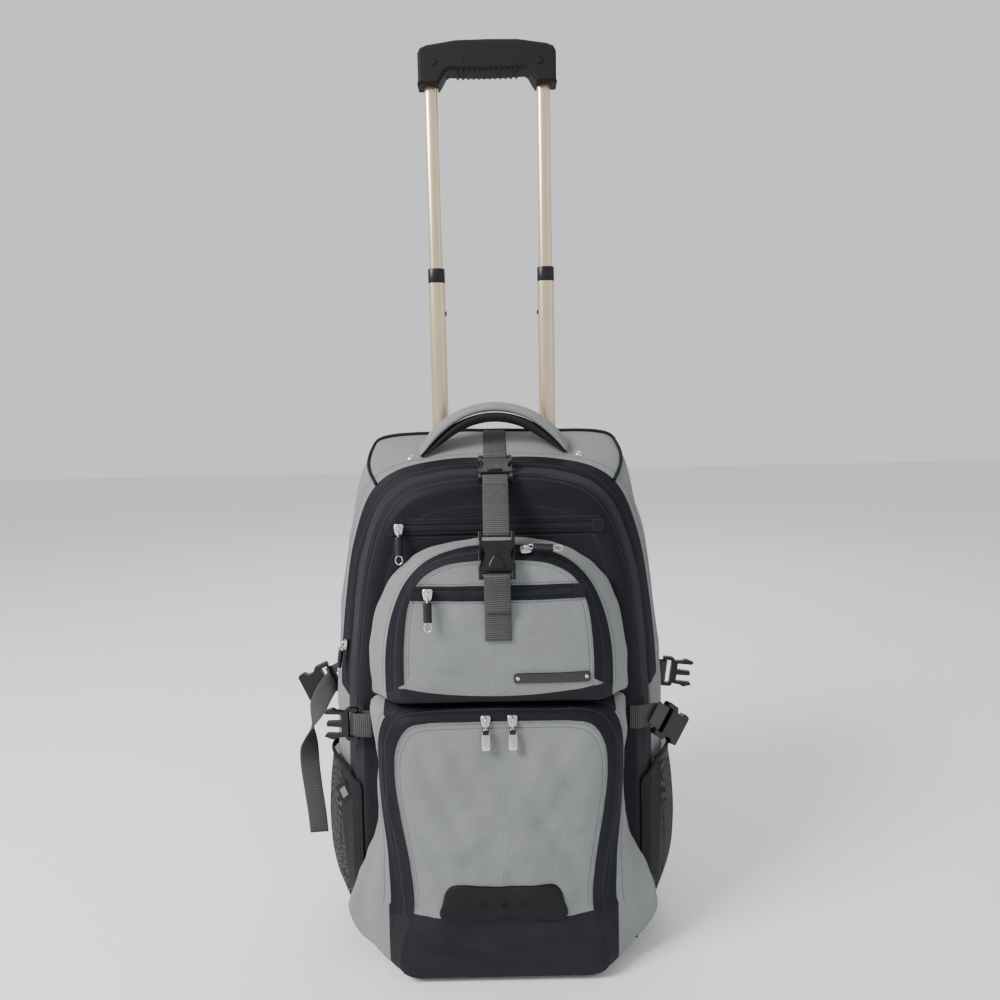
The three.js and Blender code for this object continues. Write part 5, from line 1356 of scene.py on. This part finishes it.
class BACKPACK_OT_mesh_pockets(bpy.types.Operator):
    """Makes the two net side pockets with their elastic binding and the sewn tab"""
    bl_idname = "backpack.mesh_pockets"
    bl_label = "Mesh pockets"

    def execute(self, context):
        out_table = np.array([(0, 0), (.10, .25), (.28, .62), (.48, .92), (.66, 1), (.85, .72), (1, .30)])
        swell_table = np.array([(0, .22), (.04, .30), (.09, .42), (.18, .70), (.36, .96), (.58, 1), (.80, .80),
                                (.95, .55), (1, .50)])
        for side, word in ((-1, "left"), (1, "right")):
            node = f"mesh_pocket_{word}"
            around, up = np.linspace(0, 1, 40), np.linspace(0, 1, 34)
            grid = np.zeros((len(up), len(around), 3))
            for i, b in enumerate(up):
                for j, a in enumerate(around):
                    y = -57 + 99 * a
                    z = 20 + 180 * b - 10 * b * (1 - a) ** 2
                    body = max(body_side(side, y, z, SHELLS), body_side(side, y, z + 6, SHELLS),
                               body_side(side, -66, z, SHELLS) * (1 - a) ** 3)
                    swell = np.interp(b, *swell_table.T) * np.interp(a, *out_table.T)
                    grid[i, j] = (side * (body + 1.2 + 16 * swell), y, z)
            for _ in range(3):
                grid[1:-1, 1:-1, 0] = (grid[1:-1, 1:-1, 0] * 2 + grid[:-2, 1:-1, 0] + grid[2:, 1:-1, 0]
                                       + grid[1:-1, :-2, 0] + grid[1:-1, 2:, 0]) / 6
            lengths = [np.linalg.norm(np.diff(grid, axis=k), axis=2).sum(axis=k) for k in (0, 1)]
            wide, tall = lengths[1].mean(), lengths[0].mean()
            uv = np.stack(np.meshgrid(around * wide, up * tall), axis=2)
            net = Shape().grid(grid, 0, uv).piece(
                f"net_{word}", [finish("netting")], "mesh_cloth", stands_for=(node,))
            edge = grid[-1] + [side * 0.6, 0, 0]
            shape = Shape()
            tube(shape, even(spline(edge[::3], 3), 70), 4.2, up=(side, 0, 0), sides=12, flat=0.34)
            for row, radius in ((grid[:, 0], 2.6), (grid[:, -1], 2.6), (grid[0], 3.0)):
                tube(shape, row, radius, up=(side, 0, 0), sides=10, flat=0.4)
            hem = shape.piece(f"net_binding_{word}", [finish("black_binding")], "mesh_cloth")
            if side < 0:
                seat = grid[-6, 12]
                v = grid[-2, 12] - grid[-11, 12]
                v = v / np.linalg.norm(v)
                w = np.array([-0.62, -0.78, 0.0])
                u = np.cross(v, w) / np.linalg.norm(np.cross(v, w))
                w = np.cross(u, v)
                shape = Shape()
                for half, lift, kind in ((14.0, 1.6, 0), (7.0, 2.2, 1)):
                    corners = [(0, -half), (half, 0), (0, half), (-half, 0), (0, -half)]
                    diamond = even(np.array(corners, float), 33)[:-1]
                    slab(shape, diamond, seat + lift * w, u, v, w, 1.6, 0.5, kind)
                shape.piece("pocket_tab", [finish("rubber"), finish("grey_weave")], "rubber", sharp=30)
        return {"FINISHED"}


class BACKPACK_OT_back(bpy.types.Operator):
    """Makes the back panel, the channelled back pad and the shoulder straps"""
    bl_idname = "backpack.back"
    bl_label = "Back and shoulder straps"

    def execute(self, context):
        soft_copy("back_panel_cloth", "back_panel", "grey_weave", "grey_cloth", rounding=0, bevel=2.5)
        pad_outline = outline((PAD, 128, 102, 500), 160)
        centre = np.array([0.0, 301.0])
        rows = []
        for share, depth in ([(1.0, 0.3), (1.0, 4.5), (0.992, 6.8), (0.975, 8.2)]
                             + [(s, 9.0) for s in np.linspace(0.95, 0.02, 60)]):
            flat = centre + (pad_outline - centre) * share
            rows.append(at_depth(flat, 108.3 + depth))
        rows = np.array(rows)
        sink = np.zeros(rows.shape[:2])
        for x in (-46, 46):
            sink += 3.4 * np.exp(-(((rows[..., 0] - x) / 6.5) ** 2))
        for z in (196, 300, 404):
            sink += 3.0 * np.exp(-(((rows[..., 2] - z) / 6.0) ** 2))
        inside = np.clip((rows[..., 1] - 112) / 5, 0, 1)
        rows[..., 1] -= np.minimum(sink, 4.6) * inside
        shape = Shape().sweep(rows, 0, rows[..., [0, 2]])
        pad = shape.piece("back_pad_mesh", [finish("spacer_mesh")], "mesh_cloth", stands_for=("back_pad",))
        shape = Shape()
        tube(shape, at_depth(pad_outline, 110.4), 2.1, up=(0, 1, 0), sides=8, closed=True)
        shape.piece("back_pad_piping", [finish("piping")], "mesh_cloth")

        table = np.array([
            (0, 0, 0, .62, .6), (.05, .35, .02, .85, .9), (.16, .80, .08, 1, 1), (.34, 1, .24, 1, 1),
            (.54, .95, .46, .98, 1), (.74, .72, .70, .90, 1), (.90, .50, .88, .72, .8), (1, .40, 1, .55, .6)])
        down, bow, aside, wide, thick = even(spline(table, 10), 90).T
        for side, word in ((-1, "left"), (1, "right")):
            x = side * (46 + 52 * aside)
            y = 108.3 + 5.5 * (thick + (1 - thick) * np.minimum(1, 4 * down)) + 24 * bow
            path = np.stack([x, y, 528 - 296 * down], axis=1)
            _, across, out = frames(path, (1, 0, 0))
            if out[45][1] < 0:
                out = -out
            angle = np.linspace(0, 2 * math.pi, 28, endpoint=False)
            cos, sin = np.cos(angle), np.sin(angle)
            a = 31.0 * wide[:, None] * np.sign(cos) * np.abs(cos) ** 0.7
            b = 5.4 * thick[:, None] * np.sign(sin) * np.abs(sin) ** 0.55
            sections = path[:, None] + a[..., None] * across[:, None] + b[..., None] * out[:, None]
            shape = Shape().sweep(sections)
            pad = shape.piece(f"shoulder_pad_{word}", [finish("charcoal_weave")], "charcoal_cloth",
                              stands_for=(f"shoulder_strap_{word}",))
            shape = Shape()
            for edge in (-1, 1):
                rim = path + edge * (31.2 * wide[:, None]) * across
                tube(shape, rim, 1.7, up=(0, 1, 0), sides=8)
            shape.piece(f"shoulder_piping_{word}", [finish("piping")], "webbing")
            shape = Shape()
            for edge in (-1, 1):
                rim = path + edge * (25.5 * wide[:, None]) * across + (5.5 * thick[:, None] + 0.1) * out
                stitches(shape, rim, out, 3.6, 2.5, 0.35)
            shape.piece(f"shoulder_stitching_{word}", [finish("grey_thread")], "grey_cloth")
            carry_over(f"ladder_lock_{word}", "black_plastic", 0.6, 3)
            shape = Shape()
            line = strap(shape, f"shoulder_webbing_{word}")
            whole = line["lengths"][-1]
            for at in (5.0, 7.5, whole - 7, whole - 5):
                path, up = on_strap(line, np.full(9, at), np.linspace(-10, 10, 9), 0.85)
                stitches(shape, path, up, 2.6, 1.8, 0.3, 1)
            shape.piece(f"shoulder_webbing_{word}_cloth", [finish("webbing"), finish("dark_thread")], "webbing",
                        stands_for=(f"shoulder_webbing_{word}",))
        return {"FINISHED"}


class BACKPACK_OT_stage(bpy.types.Operator):
    """Makes the pale floor, the soft studio light and the camera"""
    bl_idname = "backpack.stage"
    bl_label = "Stage"

    def execute(self, context):
        scene = context.scene
        size = 6.0
        floor = bpy.data.meshes.new("studio_floor")
        corners = [(-size, -size, 0), (size, -size, 0), (size, size, 0), (-size, size, 0)]
        floor.from_pydata(corners, [], [(0, 1, 2, 3)])
        g = Graph("floor_finish")
        cloud = g.noise(g.own_place(), 1.5, 2.0)
        floor.materials.append(g.surface(g.mix(cloud, (0.80, 0.80, 0.82), (0.84, 0.84, 0.86)), 0.55))
        obj = bpy.data.objects.new("studio_floor", floor)
        scene.collection.objects.link(obj)

        world = bpy.data.worlds.new("studio_world")
        world.use_nodes = True
        back = world.node_tree.nodes["Background"]
        back.inputs["Color"].default_value = (0.92, 0.92, 0.96, 1)
        back.inputs["Strength"].default_value = 0.95
        scene.world = world

        for name, place, target, width, power in (
            ("key_light", (-1.5, -1.1, 1.9), (0, 0, 0.30), 0.8, 85),
            ("fill_light", (1.8, -1.5, 1.3), (0, 0, 0.4), 1.8, 5),
            ("back_light", (0.3, 1.8, 1.9), (0, 0, 0.4), 1.6, 16),
        ):
            light = bpy.data.lights.new(name, "AREA")
            light.size, light.energy = width, power
            lamp = bpy.data.objects.new(name, light)
            lamp.location = place
            aim = Vector(target) - Vector(place)
            lamp.rotation_euler = aim.to_track_quat("-Z", "Y").to_euler()
            scene.collection.objects.link(lamp)

        settings = scene.backpack_camera
        camera = bpy.data.cameras.new("photo_camera")
        camera.sensor_width, camera.lens = 36.0, settings.lens
        camera.shift_x = 0.0044
        camera.clip_start = 0.02
        eye = bpy.data.objects.new("photo_camera", camera)
        eye.location = to_row([0.0, settings.y, settings.height])
        pitch = Matrix.Rotation(math.pi / 2 - settings.pitch, 4, "X")
        roll = Matrix.Rotation(-settings.roll, 4, "Z")
        eye.rotation_euler = (pitch @ roll).to_euler()
        scene.collection.objects.link(eye)
        scene.camera = eye
        return {"FINISHED"}


class BackpackClothSettings(bpy.types.PropertyGroup):
    softness: bpy.props.FloatProperty(
        name="Softness", description="How uneven the filled cloth stands", default=1.0, min=0.0, max=2.0,
        subtype="FACTOR")


class BackpackCameraSettings(bpy.types.PropertyGroup):
    lens: bpy.props.FloatProperty(
        name="Lens", description="Focal length on a 36 mm sensor", default=27.18, min=10, max=200)
    y: bpy.props.FloatProperty(
        name="Depth", description="Camera place, front is negative, in mm", default=-807.0)
    height: bpy.props.FloatProperty(
        name="Height", description="Camera height above the floor, in mm", default=584.0)
    pitch: bpy.props.FloatProperty(
        name="Pitch", description="How far the camera looks down", default=math.radians(7.14), subtype="ANGLE",
        unit="ROTATION")
    roll: bpy.props.FloatProperty(
        name="Roll", description="How far the camera leans", default=math.radians(1.16), subtype="ANGLE",
        unit="ROTATION")


OPERATORS = [
    BACKPACK_OT_stage,
    BACKPACK_OT_main_compartment,
    BACKPACK_OT_front_compartment,
    BACKPACK_OT_upper_pocket,
    BACKPACK_OT_lower_pocket,
    BACKPACK_OT_trims,
    BACKPACK_OT_centre_strap,
    BACKPACK_OT_side_straps,
    BACKPACK_OT_zip_pulls,
    BACKPACK_OT_grab_handle,
    BACKPACK_OT_trolley,
    BACKPACK_OT_base,
    BACKPACK_OT_mesh_pockets,
    BACKPACK_OT_back,
]


class BACKPACK_PT_pieces(bpy.types.Panel):
    """Lists the pieces of the bag"""
    bl_idname = "BACKPACK_PT_pieces"
    bl_label = "Wheeled backpack"
    bl_space_type = "VIEW_3D"
    bl_region_type = "UI"
    bl_category = "Backpack"

    def draw(self, context):
        for operator in OPERATORS:
            self.layout.operator(operator.bl_idname)
        self.layout.prop(context.scene.backpack_cloth, "softness")
        for name in ("lens", "y", "height", "pitch", "roll"):
            self.layout.prop(context.scene.backpack_camera, name)


CLASSES = [BackpackClothSettings, BackpackCameraSettings, *OPERATORS, BACKPACK_PT_pieces]


def register():
    for made in CLASSES:
        bpy.utils.register_class(made)
    bpy.types.Scene.backpack_cloth = bpy.props.PointerProperty(type=BackpackClothSettings)
    bpy.types.Scene.backpack_camera = bpy.props.PointerProperty(type=BackpackCameraSettings)


def unregister():
    del bpy.types.Scene.backpack_camera
    del bpy.types.Scene.backpack_cloth
    for made in reversed(CLASSES):
        bpy.utils.unregister_class(made)


def main():
    register()
    for operator in OPERATORS:
        group, name = operator.bl_idname.split(".")
        getattr(getattr(bpy.ops, group), name)()


if __name__ == "__main__":
    main()
